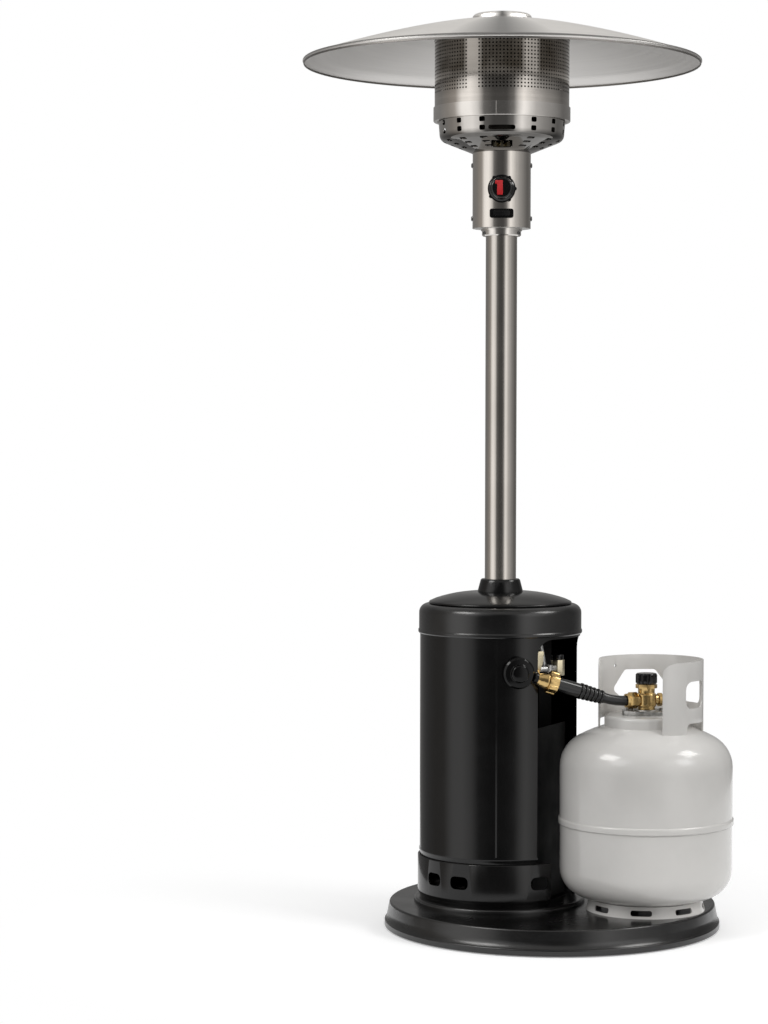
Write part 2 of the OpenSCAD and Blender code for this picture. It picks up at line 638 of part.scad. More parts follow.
module hood_cap() color("#c3c0bb") at_heater() rotate_extrude() polygon(concat(
    [[hood_cap_r - 2, hood_z(hood_cap_r - 2) + 0.05], [hood_cap_r, hood_z(hood_cap_r - 2) + 0.05]],
    arc([hood_cap_r - 8, hood_z(hood_cap_r) + 3.2], 8, 0, 72, 5),
    [[hood_cap_r * 0.5, z_hood + 7.8], [0, z_hood + 8.3], [0, z_hood + 6.8],
     [hood_cap_r * 0.5, z_hood + 6.3], [hood_cap_r - 5, hood_z(hood_cap_r) + 8.8],
     [hood_cap_r - 2, hood_z(hood_cap_r) + 4.2]]));

module regulator_body() color("#151515") {
    at_heater() outward(reg_az, housing_r, reg_z) rotate_extrude() polygon([
        [0, 3], [reg_r - 1.5, 3], [reg_r, 4.5], [reg_r, 17], [reg_r - 3, 20], [0, 20]]);
    on_line(reg_r - 8) translate([-9, -4.5, 0]) cube([18, 9, s_block - reg_r + 8]);
    on_line(s_block - 7) cylinder(r = 10.5, h = 7);
}

module regulator_bonnet() color("#1a1a1a") at_heater() outward(reg_az, housing_r, reg_z)
    rotate_extrude() polygon(concat([[0, 20], [17, 20], [17, 22], [16, 22.6]],
        arc([11, 27], 5, 0, 90, 6), [[0, 33]]));

module regulator_nipple() color("#b08d4a") at_heater() outward(reg_az, 0, reg_z) {
    translate([0, 0, nipple_in]) cylinder(r = 7, h = housing_r + 3 - nipple_in);
    translate([0, 0, housing_r + 0.3]) cylinder(r = 10, h = 2.7);
    translate([0, 0, housing_r - housing_wall - 7]) cylinder(r = 12, h = 6.4, $fn = 6);
}

module regulator_bracket() color("#d8d2bd") at_heater() intersection() {
    tube(housing_r - housing_wall - fit, housing_r - housing_wall - fit - 2, reg_z - 8, reg_z + 40);
    outward(door_edge, 20, reg_z) linear_extrude(housing_r) polygon(rounded(
        [[-22, -6], [3, -6], [12, 16], [14, 36], [-22, 36]], 3));
}

module feed_pipe() color("#a9a6a0") at_heater() pipe([
    [dirxy(reg_az).x * nipple_in, dirxy(reg_az).y * nipple_in, reg_z],
    [dirxy(reg_az).x * (nipple_in - 16), dirxy(reg_az).y * (nipple_in - 16), reg_z],
    [88, -66, reg_z],
    [union_at.x - 3, union_at.y - 6, reg_z]], pipe_r, true);

module pipe_union() color("#c3c0b8") at_heater() difference() {
    translate(union_at - [0, 0, 14]) cylinder(r = 12.5, h = 28, $fn = 8);
    rod([88, -66, reg_z], [union_at.x - 3, union_at.y - 6, reg_z], pipe_r + fit);
    rod([80, -34, reg_z], [union_at.x - 6, union_at.y + 1.5, reg_z], pipe_r + fit);
}

module union_cap() color("#121212") at_heater() translate(union_at + [0, 0, 14])
    rotate_extrude() polygon(concat([[0, 0], [11, 0]], arc([9, 8], 2, 0, 90, 4), [[0, 10]]));

module riser_pipe() color("#a9a6a0") at_heater() pipe([
    [union_at.x - 6, union_at.y + 1.5, reg_z],
    [80, -34, reg_z],
    [72, -31, z_socket - 22],
    [0, 0, z_socket - 16],
    [0, 0, knob_z - 26]], pipe_r);

module inlet_fitting() color("#b8924c") on_line(0) rotate_extrude() polygon([
    [0, s_block], [9.5, s_block], [10.5, s_block + 4], [11.5, s_block + 6], [line_r + 3, s_nut - 3],
    [line_r + 3, s_nut], [line_r, s_nut], [line_r, s_nut + neck_len], [0, s_nut + neck_len]]);

module coupling_nut() color("#c39a50") on_line(s_nut + slide_fit) difference() {
    union() {
        cylinder(r = nut_r - 3, h = nut_len);
        for (a = [0:60:300]) rotate([0, 0, a]) translate([nut_r - 6, 0, 1]) cylinder(r = 6, h = nut_len - 2);
    }
    translate([0, 0, -1]) cylinder(r = line_r + slide_fit, h = nut_len + 2);
}

module hose_sleeve() color("#141414") on_line(0) rotate_extrude() polygon([
    [hose_bore, s_sleeve], [line_r, s_sleeve], [line_r, s_nut + nut_len + 2 * slide_fit],
    [line_r + 0.8, s_nut + nut_len + 2 * slide_fit], [line_r + 0.8, s_relief - 1], [line_r, s_relief],
    [hose_bore, s_relief]]);

module strain_relief() color("#101010") on_line(s_relief) rotate_extrude() polygon(concat(
    [for (i = [0:relief_ribs - 1]) let (r = rib_r - 2.6 * i / relief_ribs, s = i * rib_pitch)
        each [[r - 2.2, s], [r - 0.6, s], [r, s + 0.6], [r, s + 4.2], [r - 0.6, s + 4.8],
              [r - 2.2, s + 4.8]]],
    [[hose_bore + 1.9, relief_len], [hose_bore, relief_len], [hose_bore, 0]]));

// Sweeps a round tube along the given points
module sweep(p, r, sides) {
    n = len(p);
    dir = [for (i = [0:n - 1]) unit(p[min(i + 1, n - 1)] - p[max(i - 1, 0)])];
    side = [for (d = dir) unit(cross([0, 0, 1], d))];
    pts = [for (i = [0:n - 1], k = [0:sides - 1]) let (a = 360 * k / sides)
        p[i] + r * (cos(a) * side[i] + sin(a) * cross(dir[i], side[i]))];
    walls = [for (i = [0:n - 2], k = [0:sides - 1]) let (
            a = i * sides + k, b = i * sides + (k + 1) % sides)
        each [[a, a + sides, b], [b, a + sides, b + sides]]];
    first = [for (k = [0:sides - 1]) k];
    last = [for (k = [sides - 1:-1:0]) (n - 1) * sides + k];
    polyhedron(points = pts, faces = concat(walls, [first, last]), convexity = 6);
}

module gas_hose() color("#0f0f0f") sweep(hose_route, hose_r, 12);

module tank_lower() color("#d2cfc8") at_tank() rotate_extrude() polygon(concat(
    up(swap(head_pts(tank_r - 0.5, low_l, low_k), -1), z_low),
    [[tank_r - 0.5, belt_z + 3], [tank_r - 0.5 - tank_wall, belt_z + 3]],
    rev(up(swap(head_pts(tank_r - 0.5 - tank_wall, low_l - tank_wall, low_k - tank_wall), -1), z_low))));

module tank_upper() color("#d2cfc8") at_tank() difference() {
    union() {
        rotate_extrude() polygon(concat(
            [[tank_r - 0.5 + fit, belt_z - 5 - 3 * sin(50)]],
            arc([tank_r + belt_out - 3, belt_z - 5], 3, -50, 0, 3),
            arc([tank_r + belt_out - belt_round, belt_z + 1], belt_round, 0, belt_lean, 5),
            rev(up(head_pts(tank_r, top_l, top_k), z_top)),
            up(head_pts(tank_r - tank_wall, top_l - tank_wall, top_k - tank_wall), z_top),
            [[tank_r - tank_wall, belt_z + 10], [tank_r - tank_wall, belt_z + 3],
             [tank_r - 0.5 + fit, belt_z + 3]]));
        rotate_extrude() polygon(concat(
            [[0, z_dome - tank_wall / 2], [neck_r, dome_z(neck_r) - tank_wall / 2]],
            arc([neck_r - 6, z_neck - 6], 6, 0, 90, 5), [[0, z_neck]]));
    }
    translate([0, 0, z_dome - 20]) cylinder(r = 12 + fit, h = 40);
}

module tank_foot() color("#d2cfc8") at_tank() difference() {
    translate([0, 0, base_h]) rotate_extrude() polygon([
        [foot_r - 3, 0], [foot_r, 0], [foot_r - 5, foot_z()], [foot_r - 8, foot_z()]]);
    for (i = [0:7]) outward(-7 + i * 45, foot_r - 20, base_h + foot_z() * 0.46)
        linear_extrude(40) polygon(rounded(box_pts(38, 10), 4));
}
// Height at which the foot ring meets the dished bottom
function foot_z() = tank_gap + low_l - sqrt(pow(low_l, 2) - pow(foot_r - 8, 2)) - 0.1;

module tank_guard() color("#d2cfc8") difference() {
    at_guard() tube(guard_r, guard_r - guard_wall, dome_z(guard_r + guard_shift + 6) + 1.2, z_dome + guard_h);
    dome_cut();
    at_guard() {
        outward(-37.5, 0, z_dome) linear_extrude(guard_r * 1.5) polygon(concat(
            [[-guard_gate, -60], [guard_gate, -60]],
            arc([guard_gate + 20, guard_h - 20], 20, 180, 90, 6),
            [[guard_gate + 20, guard_h + 5], [-guard_gate - 20, guard_h + 5]],
            arc([-guard_gate - 20, guard_h - 20], 20, 90, 0, 6)));
        for (a = [55.5, 121.5]) outward(a, 20, z_dome + guard_h * 0.46) linear_extrude(guard_r)
            polygon(rounded(box_pts(guard_r * 0.6, guard_h * 0.44), 14));
        outward(190, 20, z_dome) linear_extrude(guard_r) polygon(rounded(
            [[-guard_r * 0.3, 25], [guard_r * 0.3, 25], [guard_r * 0.57, 47], [guard_r * 0.3, guard_h - 27],
             [-guard_r * 0.3, guard_h - 27], [-guard_r * 0.57, 47]], 8));
        for (a = [62, 152, 240]) outward(a, 20, z_dome) linear_extrude(guard_r)
            polygon(rounded([[-40, -60], [40, -60], [34, 0], [-34, 0]], 8));
        outward(222, 20, z_dome + guard_h - 19) cylinder(r = 2.8, h = guard_r);
    }
}

module valve_flange() color("#a8a7a2") at_tank() translate([0, 0, z_neck]) difference() {
    union() {
        linear_extrude(8) polygon(rounded([[-43, -16], [-20, -27], [20, -27], [43, -16], [43, 16], [20, 27],
            [-20, 27], [-43, 16]], 8));
        cylinder(r = 22, h = flange_t);
        for (x = [-30, 30]) translate([x, 0, 6]) cylinder(r = 7, h = 6, $fn = 6);
    }
    translate([0, 0, -1]) cylinder(r = 12 + fit, h = flange_t + 2);
}

module tank_valve() color("#b8924c") difference() {
    union() {
        at_tank() rotate_extrude() polygon([
            [0, z_dome - 14], [12, z_dome - 14], [12, z_valve], [15.5, z_valve], [15.5, z_valve + 4],
            [18, z_valve + 7], [18, port_z + 10], [15, port_z + 13], [15, z_bonnet], [0, z_bonnet]]);
        at_tank() translate([0, 0, z_bonnet]) cylinder(r = wheel_r, h = 7, $fn = 8);
        on_port(0) cylinder(r = 10, h = port_len);
        on_port(0) rotate([180, 0, 0]) cylinder(r = 9, h = port_len + 3);
    }
    at_tank() translate([0, 0, z_bonnet - 14]) cylinder(r = shaft_r + run_fit, h = 30);
}

module hose_tail_nut() color("#b8924c") on_port(port_len) difference() {
    union() {
        cylinder(r = 15, h = tail_len - 5, $fn = 6);
        cylinder(r = hose_bore + 3.2, h = tail_len);
    }
    translate([0, 0, 4]) cylinder(r = hose_bore, h = tail_len);
}

module relief_valve() color("#b8924c") on_port(0) rotate([180, 0, 0]) {
    translate([0, 0, port_len + 3]) cylinder(r = 12, h = 8, $fn = 6);
    translate([0, 0, port_len + 10]) cylinder(r = 9, h = 9);
}

module wheel_shaft() color("#b8924c") at_tank() translate([0, 0, z_bonnet - 13])
    cylinder(r = shaft_r, h = 13 + 8 + wheel_h - 5);

module tank_wheel() color("#131313") at_tank() difference() {
    translate([0, 0, z_wheel]) rotate_extrude() polygon(concat(
        [[0, 0], [wheel_r - 2, 0], [wheel_r, 2]], arc([wheel_r - 4, wheel_h - 4], 4, 0, 90, 5),
        [[0, wheel_h]]));
    for (i = [0:8]) rotate([0, 0, i * 40]) translate([wheel_r + 3, 0, z_wheel - 1])
        cylinder(r = 5, h = wheel_h + 2);
    translate([0, 0, z_wheel - 1]) cylinder(r = shaft_r + fit, h = wheel_h - 3.8);
}

base_pad();
base_pan();
ballast();
skirt_ring();
housing_shell();
housing_cap();
housing_lid();
post_collar();
support_legs();
leg_bolts();
post_socket();
inner_panel();
post_tube();
head_collar();
control_housing();
control_plate();
head_screws();
gas_valve();
knob_bezel();
knob_shaft();
control_knob();
knob_pointer();
igniter_bezel();
igniter_button();
igniter_module();
tilt_switch();
burner_bowl();
bowl_band();
emitter_screen();
emitter_top();
venturi();
burner_head();
pilot_set();
reflector_hood();
hood_studs();
hood_cap();
regulator_body();
regulator_bonnet();
regulator_nipple();
regulator_bracket();
feed_pipe();
pipe_union();
union_cap();
riser_pipe();
inlet_fitting();
coupling_nut();
hose_sleeve();
strain_relief();
gas_hose();
tank_lower();
tank_upper();
tank_foot();
tank_guard();
valve_flange();
tank_valve();
hose_tail_nut();
relief_valve();
wheel_shaft();
tank_wheel();
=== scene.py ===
"""Gas patio heater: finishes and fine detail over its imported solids, laid out as an add-on."""
from math import cos, hypot, pi, radians, sin, tau

import bmesh
import bpy
from mathutils import Matrix, Vector


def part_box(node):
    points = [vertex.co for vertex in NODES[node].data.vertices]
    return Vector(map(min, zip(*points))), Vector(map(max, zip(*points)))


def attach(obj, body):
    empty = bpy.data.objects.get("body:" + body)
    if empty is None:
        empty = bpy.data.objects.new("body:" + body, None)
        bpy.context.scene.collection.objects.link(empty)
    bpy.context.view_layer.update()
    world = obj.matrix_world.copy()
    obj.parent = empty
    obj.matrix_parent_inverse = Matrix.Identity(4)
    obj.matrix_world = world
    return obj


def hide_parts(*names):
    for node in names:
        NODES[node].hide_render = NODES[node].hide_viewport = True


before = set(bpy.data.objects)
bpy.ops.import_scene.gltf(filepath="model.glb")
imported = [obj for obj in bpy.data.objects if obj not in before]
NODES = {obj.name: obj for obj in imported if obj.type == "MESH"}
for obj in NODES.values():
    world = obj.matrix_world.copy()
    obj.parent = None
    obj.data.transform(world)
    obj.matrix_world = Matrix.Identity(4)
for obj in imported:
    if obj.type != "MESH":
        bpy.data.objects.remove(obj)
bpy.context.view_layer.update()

bl_info = {
    "name": "Gas patio heater",
    "version": (1, 0, 0),
    "blender": (4, 5, 0),
    "location": "3D View > Sidebar > Heater",
    "description": "Puts finishes, perforations and fine detail on the solids of a gas patio heater",
    "category": "Object",
}

FINISH = {}  # materials by name
MM = 0.001
UP = Vector((0.0, 0.0, 1.0))
HEATER = Vector((-0.096, 0.0, 0.0))  # where the heater's upright axis meets the floor
LINE_START = Vector((-63.254, -154.058, 476.0)) * MM  # the straight gas line ahead of the hose
LINE_WAY = Vector((12.0, 3.5, -3.75)).normalized()
FLAT = 0.2  # degrees; faces that turn less are joined
SHARP = 32.0  # degrees; edges that turn more are shaded as edges
CORNER = 40.0  # degrees; edges that turn more are rounded
SCREW_WIDTH = 0.0092
HOSE_DIAMETER = 0.018
HOSE_ROUTE = [Vector(p) * MM for p in (
    (9, -133, 453.5), (21, -129.5, 449.75), (33, -126, 446), (45, -122.5, 442.25),
    (57, -119, 438.5), (69, -115.5, 434.75), (81, -112, 431), (93, -108.5, 427.25),
    (99, -106.7, 425.6), (105, -104.9, 424.3), (111, -103.1, 423.3), (117, -101.2, 422.6),
    (123, -99.3, 422.2), (129, -97.2, 422), (134, -95.3, 422), (139, -93.4, 422), (144, -91.5, 422))]


class HeaterSizes(bpy.types.PropertyGroup):
    """Sizes of the fine detail."""
    hole_columns: bpy.props.IntProperty(
        name="Hole columns", description="Columns of holes round the emitter", default=120, min=60, max=180)
    hole_rows: bpy.props.IntProperty(
        name="Hole rows", description="Rows of holes up the emitter", default=15, min=5, max=20)
    hole_width: bpy.props.FloatProperty(
        name="Hole width", description="Width of one hole in the emitter", default=0.0034, unit="LENGTH")
    sheet_thickness: bpy.props.FloatProperty(
        name="Sheet thickness", description="Thickness of the emitter sheet", default=0.0012, unit="LENGTH")
    strip_turn: bpy.props.FloatProperty(
        name="Plain strip", description="Where the emitter sheet is plain, round from the front",
        default=radians(-25.6), subtype="ANGLE")
    strip_columns: bpy.props.IntProperty(
        name="Plain columns", description="Columns without holes in the plain strip",
        default=3, min=0, max=9)
    relief_ribs: bpy.props.IntProperty(
        name="Relief ribs", description="Ribs on the strain relief of the hose", default=6, min=4, max=7)
    screw_width: bpy.props.FloatProperty(
        name="Screw width", description="Head width of the control housing screws",
        default=SCREW_WIDTH, unit="LENGTH")
    edge_round: bpy.props.FloatProperty(
        name="Edge rounding", description="Rounding on the edges of small parts",
        default=0.0005, unit="LENGTH")


class HeaterColours(bpy.types.PropertyGroup):
    """Colours of the finishes."""
    coat: bpy.props.FloatVectorProperty(
        name="Powder coat", description="Black coat of the base and housing",
        default=(0.003, 0.003, 0.0031), subtype="COLOR", min=0, max=1)
    steel: bpy.props.FloatVectorProperty(
        name="Steel", description="Brushed steel of the post and control housing",
        default=(0.56, 0.53, 0.495), subtype="COLOR", min=0, max=1)
    hood: bpy.props.FloatVectorProperty(
        name="Hood", description="Satin steel of the hood",
        default=(0.7, 0.685, 0.665), subtype="COLOR", min=0, max=1)
    polish: bpy.props.FloatVectorProperty(
        name="Polished steel", description="Polished steel of the bowl and band",
        default=(0.68, 0.655, 0.625), subtype="COLOR", min=0, max=1)
    enamel: bpy.props.FloatVectorProperty(
        name="Enamel", description="Enamel of the gas cylinder",
        default=(0.7, 0.685, 0.66), subtype="COLOR", min=0, max=1)
    brass: bpy.props.FloatVectorProperty(
        name="Brass", description="Brass of the valve and fittings",
        default=(0.6, 0.42, 0.18), subtype="COLOR", min=0, max=1)
    pointer: bpy.props.FloatVectorProperty(
        name="Pointer", description="Red pointer on the knob",
        default=(0.62, 0.02, 0.025), subtype="COLOR", min=0, max=1)


class HeaterStage(bpy.types.PropertyGroup):
    """The camera and light."""
    distance: bpy.props.FloatProperty(
        name="Camera distance", description="From the post to the camera", default=4.86, unit="LENGTH")
    height: bpy.props.FloatProperty(
        name="Camera height", description="Of the camera above the floor", default=0.93, unit="LENGTH")
    lens: bpy.props.FloatProperty(
        name="Focal length", description="For a 36 mm high sensor", default=93.8, subtype="DISTANCE_CAMERA")
    pan: bpy.props.FloatProperty(
        name="Pan", description="Turn of the camera to the left", default=radians(1.2), subtype="ANGLE")
    roll: bpy.props.FloatProperty(
        name="Roll", description="Lean of the camera to the left", default=radians(0.15), subtype="ANGLE")
    shift: bpy.props.FloatProperty(
        name="Shift", description="Sideways shift of the picture, as a share of its height",
        default=-0.0593)
    tilt: bpy.props.FloatProperty(
        name="Tilt", description="Turn of the camera down", default=radians(2.06), subtype="ANGLE")
    ambient: bpy.props.FloatProperty(
        name="Ambient light", description="Light from all round",
        default=0.62, subtype="FACTOR", min=0, max=1)


# Node trees

def plug(tree, target, value):
    """Links a socket to an input, or sets the input to a value."""
    if isinstance(value, bpy.types.NodeSocket):
        tree.links.new(value, target)
    else:
        target.default_value = value


def put(tree, kind, inputs=None, **settings):
    """Adds a node, sets its properties, and plugs sockets or values into its inputs."""
    node = tree.nodes.new(kind)
    for key, value in settings.items():
        setattr(node, key, value)
    for key, value in (inputs or {}).items():
        plug(tree, node.inputs[key], value)
    return node


def live(node):
    """The node's first output in use."""
    return next(s for s in node.outputs if s.enabled)


def calc(tree, operation, a, b=0.0):
    """A Math node's result."""
    return put(tree, "ShaderNodeMath", {0: a, 1: b}, operation=operation).outputs[0]


def spread(tree, value, low, high, to_low=0.0, to_high=1.0):
    """Maps a value from one range to another, held at its ends."""
    return put(tree, "ShaderNodeMapRange", {0: value, 1: low, 2: high, 3: to_low, 4: to_high}).outputs[0]


def tint(tree, mask, low, high):
    """A colour between two by a mask."""
    ends = [(*end, 1.0) if isinstance(end, tuple) else end for end in (low, high)]
    return put(tree, "ShaderNodeMix", {0: mask, 6: ends[0], 7: ends[1]}, data_type="RGBA").outputs[2]


def xyz(tree, vector):
    """The three parts of a vector."""
    return put(tree, "ShaderNodeSeparateXYZ", {0: vector}).outputs


def noise(tree, place, scale, detail=3.0, rough=0.5):
    """A noise value."""
    return put(tree, "ShaderNodeTexNoise",
               {"Vector": place, "Scale": scale, "Detail": detail, "Roughness": rough}).outputs[0]


def new_tree(name, kind, inputs, outputs):
    """A node group with named sockets; returns it with its input and output nodes."""
    tree = bpy.data.node_groups.new(name, kind)
    for label, socket, value in inputs:
        made = tree.interface.new_socket(label, in_out="INPUT", socket_type="NodeSocket" + socket)
        if value is not None:
            made.default_value = value
    for label, socket in outputs:
        tree.interface.new_socket(label, in_out="OUTPUT", socket_type="NodeSocket" + socket)
    return tree, tree.nodes.new("NodeGroupInput"), tree.nodes.new("NodeGroupOutput")


def shade_group(name, inputs, outputs):
    """A shader node group of that name, with its end nodes if it still has to be filled."""
    if name in bpy.data.node_groups:
        return bpy.data.node_groups[name], None, None
    return new_tree(name, "ShaderNodeTree", inputs, outputs)


def brushed_lines():
    """Fine lines left by brushing: long along one direction and close across it."""
    tree, start, end = shade_group(
        "Brushed lines", [("Vector", "Vector", None), ("Scale", "Vector", (900.0, 900.0, 6.0)),
                          ("Contrast", "Float", 0.5)], [("Line", "Float")])
    if start:
        place = put(tree, "ShaderNodeVectorMath", {0: start.outputs[0], 1: start.outputs[1]},
                    operation="MULTIPLY").outputs[0]
        fine = spread(tree, noise(tree, place, 1.0, 6.0, 0.7), 0.3, 0.7)
        broad = spread(tree, noise(tree, place, 0.13, 2.0, 0.5), 0.3, 0.7)
        both = calc(tree, "ADD", calc(tree, "MULTIPLY", fine, start.outputs[2]),
                    calc(tree, "MULTIPLY", broad, calc(tree, "SUBTRACT", 1.0, start.outputs[2])))
        tree.links.new(both, end.inputs[0])
    return tree


def round_axis():
    """Turn, distance and height about an upright axis."""
    tree, start, end = shade_group(
        "Round an axis", [("Vector", "Vector", None), ("Centre", "Vector", (0.0, 0.0, 0.0))],
        [("Vector", "Vector")])
    if start:
        local = put(tree, "ShaderNodeVectorMath", {0: start.outputs[0], 1: start.outputs[1]},
                    operation="SUBTRACT").outputs[0]
        x, y, z = xyz(tree, local)
        turn = calc(tree, "ARCTAN2", x, calc(tree, "MULTIPLY", y, -1.0))
        square = calc(tree, "ADD", calc(tree, "MULTIPLY", x, x), calc(tree, "MULTIPLY", y, y))
        around = put(tree, "ShaderNodeCombineXYZ", {0: turn, 1: calc(tree, "SQRT", square), 2: z})
        tree.links.new(around.outputs[0], end.inputs[0])
    return tree


def smudges():
    """Soft uneven patches, as handling and cleaning leave them."""
    tree, start, end = shade_group(
        "Smudges", [("Vector", "Vector", None), ("Scale", "Float", 12.0)], [("Mask", "Float")])
    if start:
        wide = noise(tree, start.outputs[0], start.outputs[1], 4.0, 0.6)
        tree.links.new(spread(tree, wide, 0.32, 0.68), end.inputs[0])
    return tree


def orange_peel():
    """The fine dimples of sprayed and baked coats."""
    tree, start, end = shade_group(
        "Orange peel", [("Vector", "Vector", None), ("Scale", "Float", 700.0)], [("Height", "Float")])
    if start:
        dimples = noise(tree, start.outputs[0], start.outputs[1], 2.0, 0.5)
        waves = noise(tree, start.outputs[0], calc(tree, "MULTIPLY", start.outputs[1], 0.12), 1.0, 0.5)
        tree.links.new(calc(tree, "ADD", dimples, calc(tree, "MULTIPLY", waves, 0.6)), end.inputs[0])
    return tree


def settled_dust():
    """Dust that thins out upward between two heights."""
    tree, start, end = shade_group(
        "Settled dust", [("Vector", "Vector", None), ("Low", "Float", 0.0), ("High", "Float", 0.3)],
        [("Mask", "Float")])
    if start:
        height = xyz(tree, start.outputs[0])[2]
        fade = spread(tree, height, start.outputs[1], start.outputs[2], 1.0, 0.0)
        grains = spread(tree, noise(tree, start.outputs[0], 240.0, 5.0, 0.75), 0.42, 0.74)
        tree.links.new(calc(tree, "MULTIPLY", fade, grains), end.inputs[0])
    return tree


def use(tree, group, **inputs):
    """Places a shader group in a material and gives its first output."""
    return put(tree, "ShaderNodeGroup", inputs, node_tree=group).outputs[0]


def start_finish(name, **values):
    """A new material with a Principled shader; returns its tree, shader and object coordinates."""
    material = bpy.data.materials.new(name)
    material.use_nodes = True
    tree = material.node_tree
    tree.nodes.clear()
    shader = put(tree, "ShaderNodeBsdfPrincipled", values)
    end = tree.nodes.new("ShaderNodeOutputMaterial")
    tree.links.new(shader.outputs[0], end.inputs[0])
    FINISH[name] = material
    return tree, shader, tree.nodes.new("ShaderNodeTexCoord").outputs["Object"]


def give(tree, shader, colour, rough, height=None, strength=0.1, distance=0.0004):
    """Plugs colour, roughness and, where there is a height, bump into a shader."""
    tree.links.new(colour, shader.inputs["Base Color"])
    tree.links.new(rough, shader.inputs["Roughness"])
    if height is not None:
        bump = put(tree, "ShaderNodeBump", {"Strength": strength, "Distance": distance, "Height": height})
        tree.links.new(bump.outputs[0], shader.inputs["Normal"])


def scaled(colour, by):
    """A lighter or darker shade of a colour."""
    return tuple(min(1.0, c * by) for c in colour)


def brushed_finish(name, colour, rough, lines, centre=None, contrast=0.55, depth=0.08, shade=0.12):
    """Brushed steel; with a centre the lines run round that axis."""
    tree, shader, place = start_finish(name, Metallic=1.0)
    way = use(tree, round_axis(), Vector=place, Centre=centre) if centre else place
    line = use(tree, brushed_lines(), Vector=way, Scale=lines, Contrast=contrast)
    smear = use(tree, smudges(), Vector=place, Scale=9.0)
    both = calc(tree, "ADD", calc(tree, "MULTIPLY", line, 0.65), calc(tree, "MULTIPLY", smear, 0.35))
    give(tree, shader, tint(tree, both, scaled(colour, 1 - shade), scaled(colour, 1 + shade)),
         spread(tree, both, 0.0, 1.0, *rough), line, depth, 0.0002)


def polished_finish(name, colour, rough, wave=0.04, scale=14.0):
    """Polished metal with faint smears and a slightly wavy sheet."""
    tree, shader, place = start_finish(name, Metallic=1.0)
    smear = use(tree, smudges(), Vector=place, Scale=scale)
    give(tree, shader, tint(tree, smear, scaled(colour, 0.94), scaled(colour, 1.05)),
         spread(tree, smear, 0.0, 1.0, *rough), noise(tree, place, 38.0, 2.0, 0.5), wave, 0.002)


def coat_finish(name, colour, rough, peel, depth, level=0.5, dust=None, coat=0.0, shade=0.2):
    """A sprayed or moulded skin with fine dimples, uneven gloss and, low down, a little dust."""
    tree, shader, place = start_finish(name, **{"Specular IOR Level": level, "Coat Weight": coat})
    smear = use(tree, smudges(), Vector=place, Scale=16.0)
    paint = tint(tree, smear, scaled(colour, 1 - shade), scaled(colour, 1 + shade))
    gloss = spread(tree, smear, 0.0, 1.0, *rough)
    if dust:
        mask = use(tree, settled_dust(), Vector=place, Low=dust[0], High=dust[1])
        mask = calc(tree, "MULTIPLY", mask, dust[2])
        paint = tint(tree, mask, paint, (0.3, 0.28, 0.25))
        gloss = calc(tree, "ADD", gloss, calc(tree, "MULTIPLY", mask, 0.3))
    give(tree, shader, paint, gloss, use(tree, orange_peel(), Vector=place, Scale=peel), depth, 0.0003)


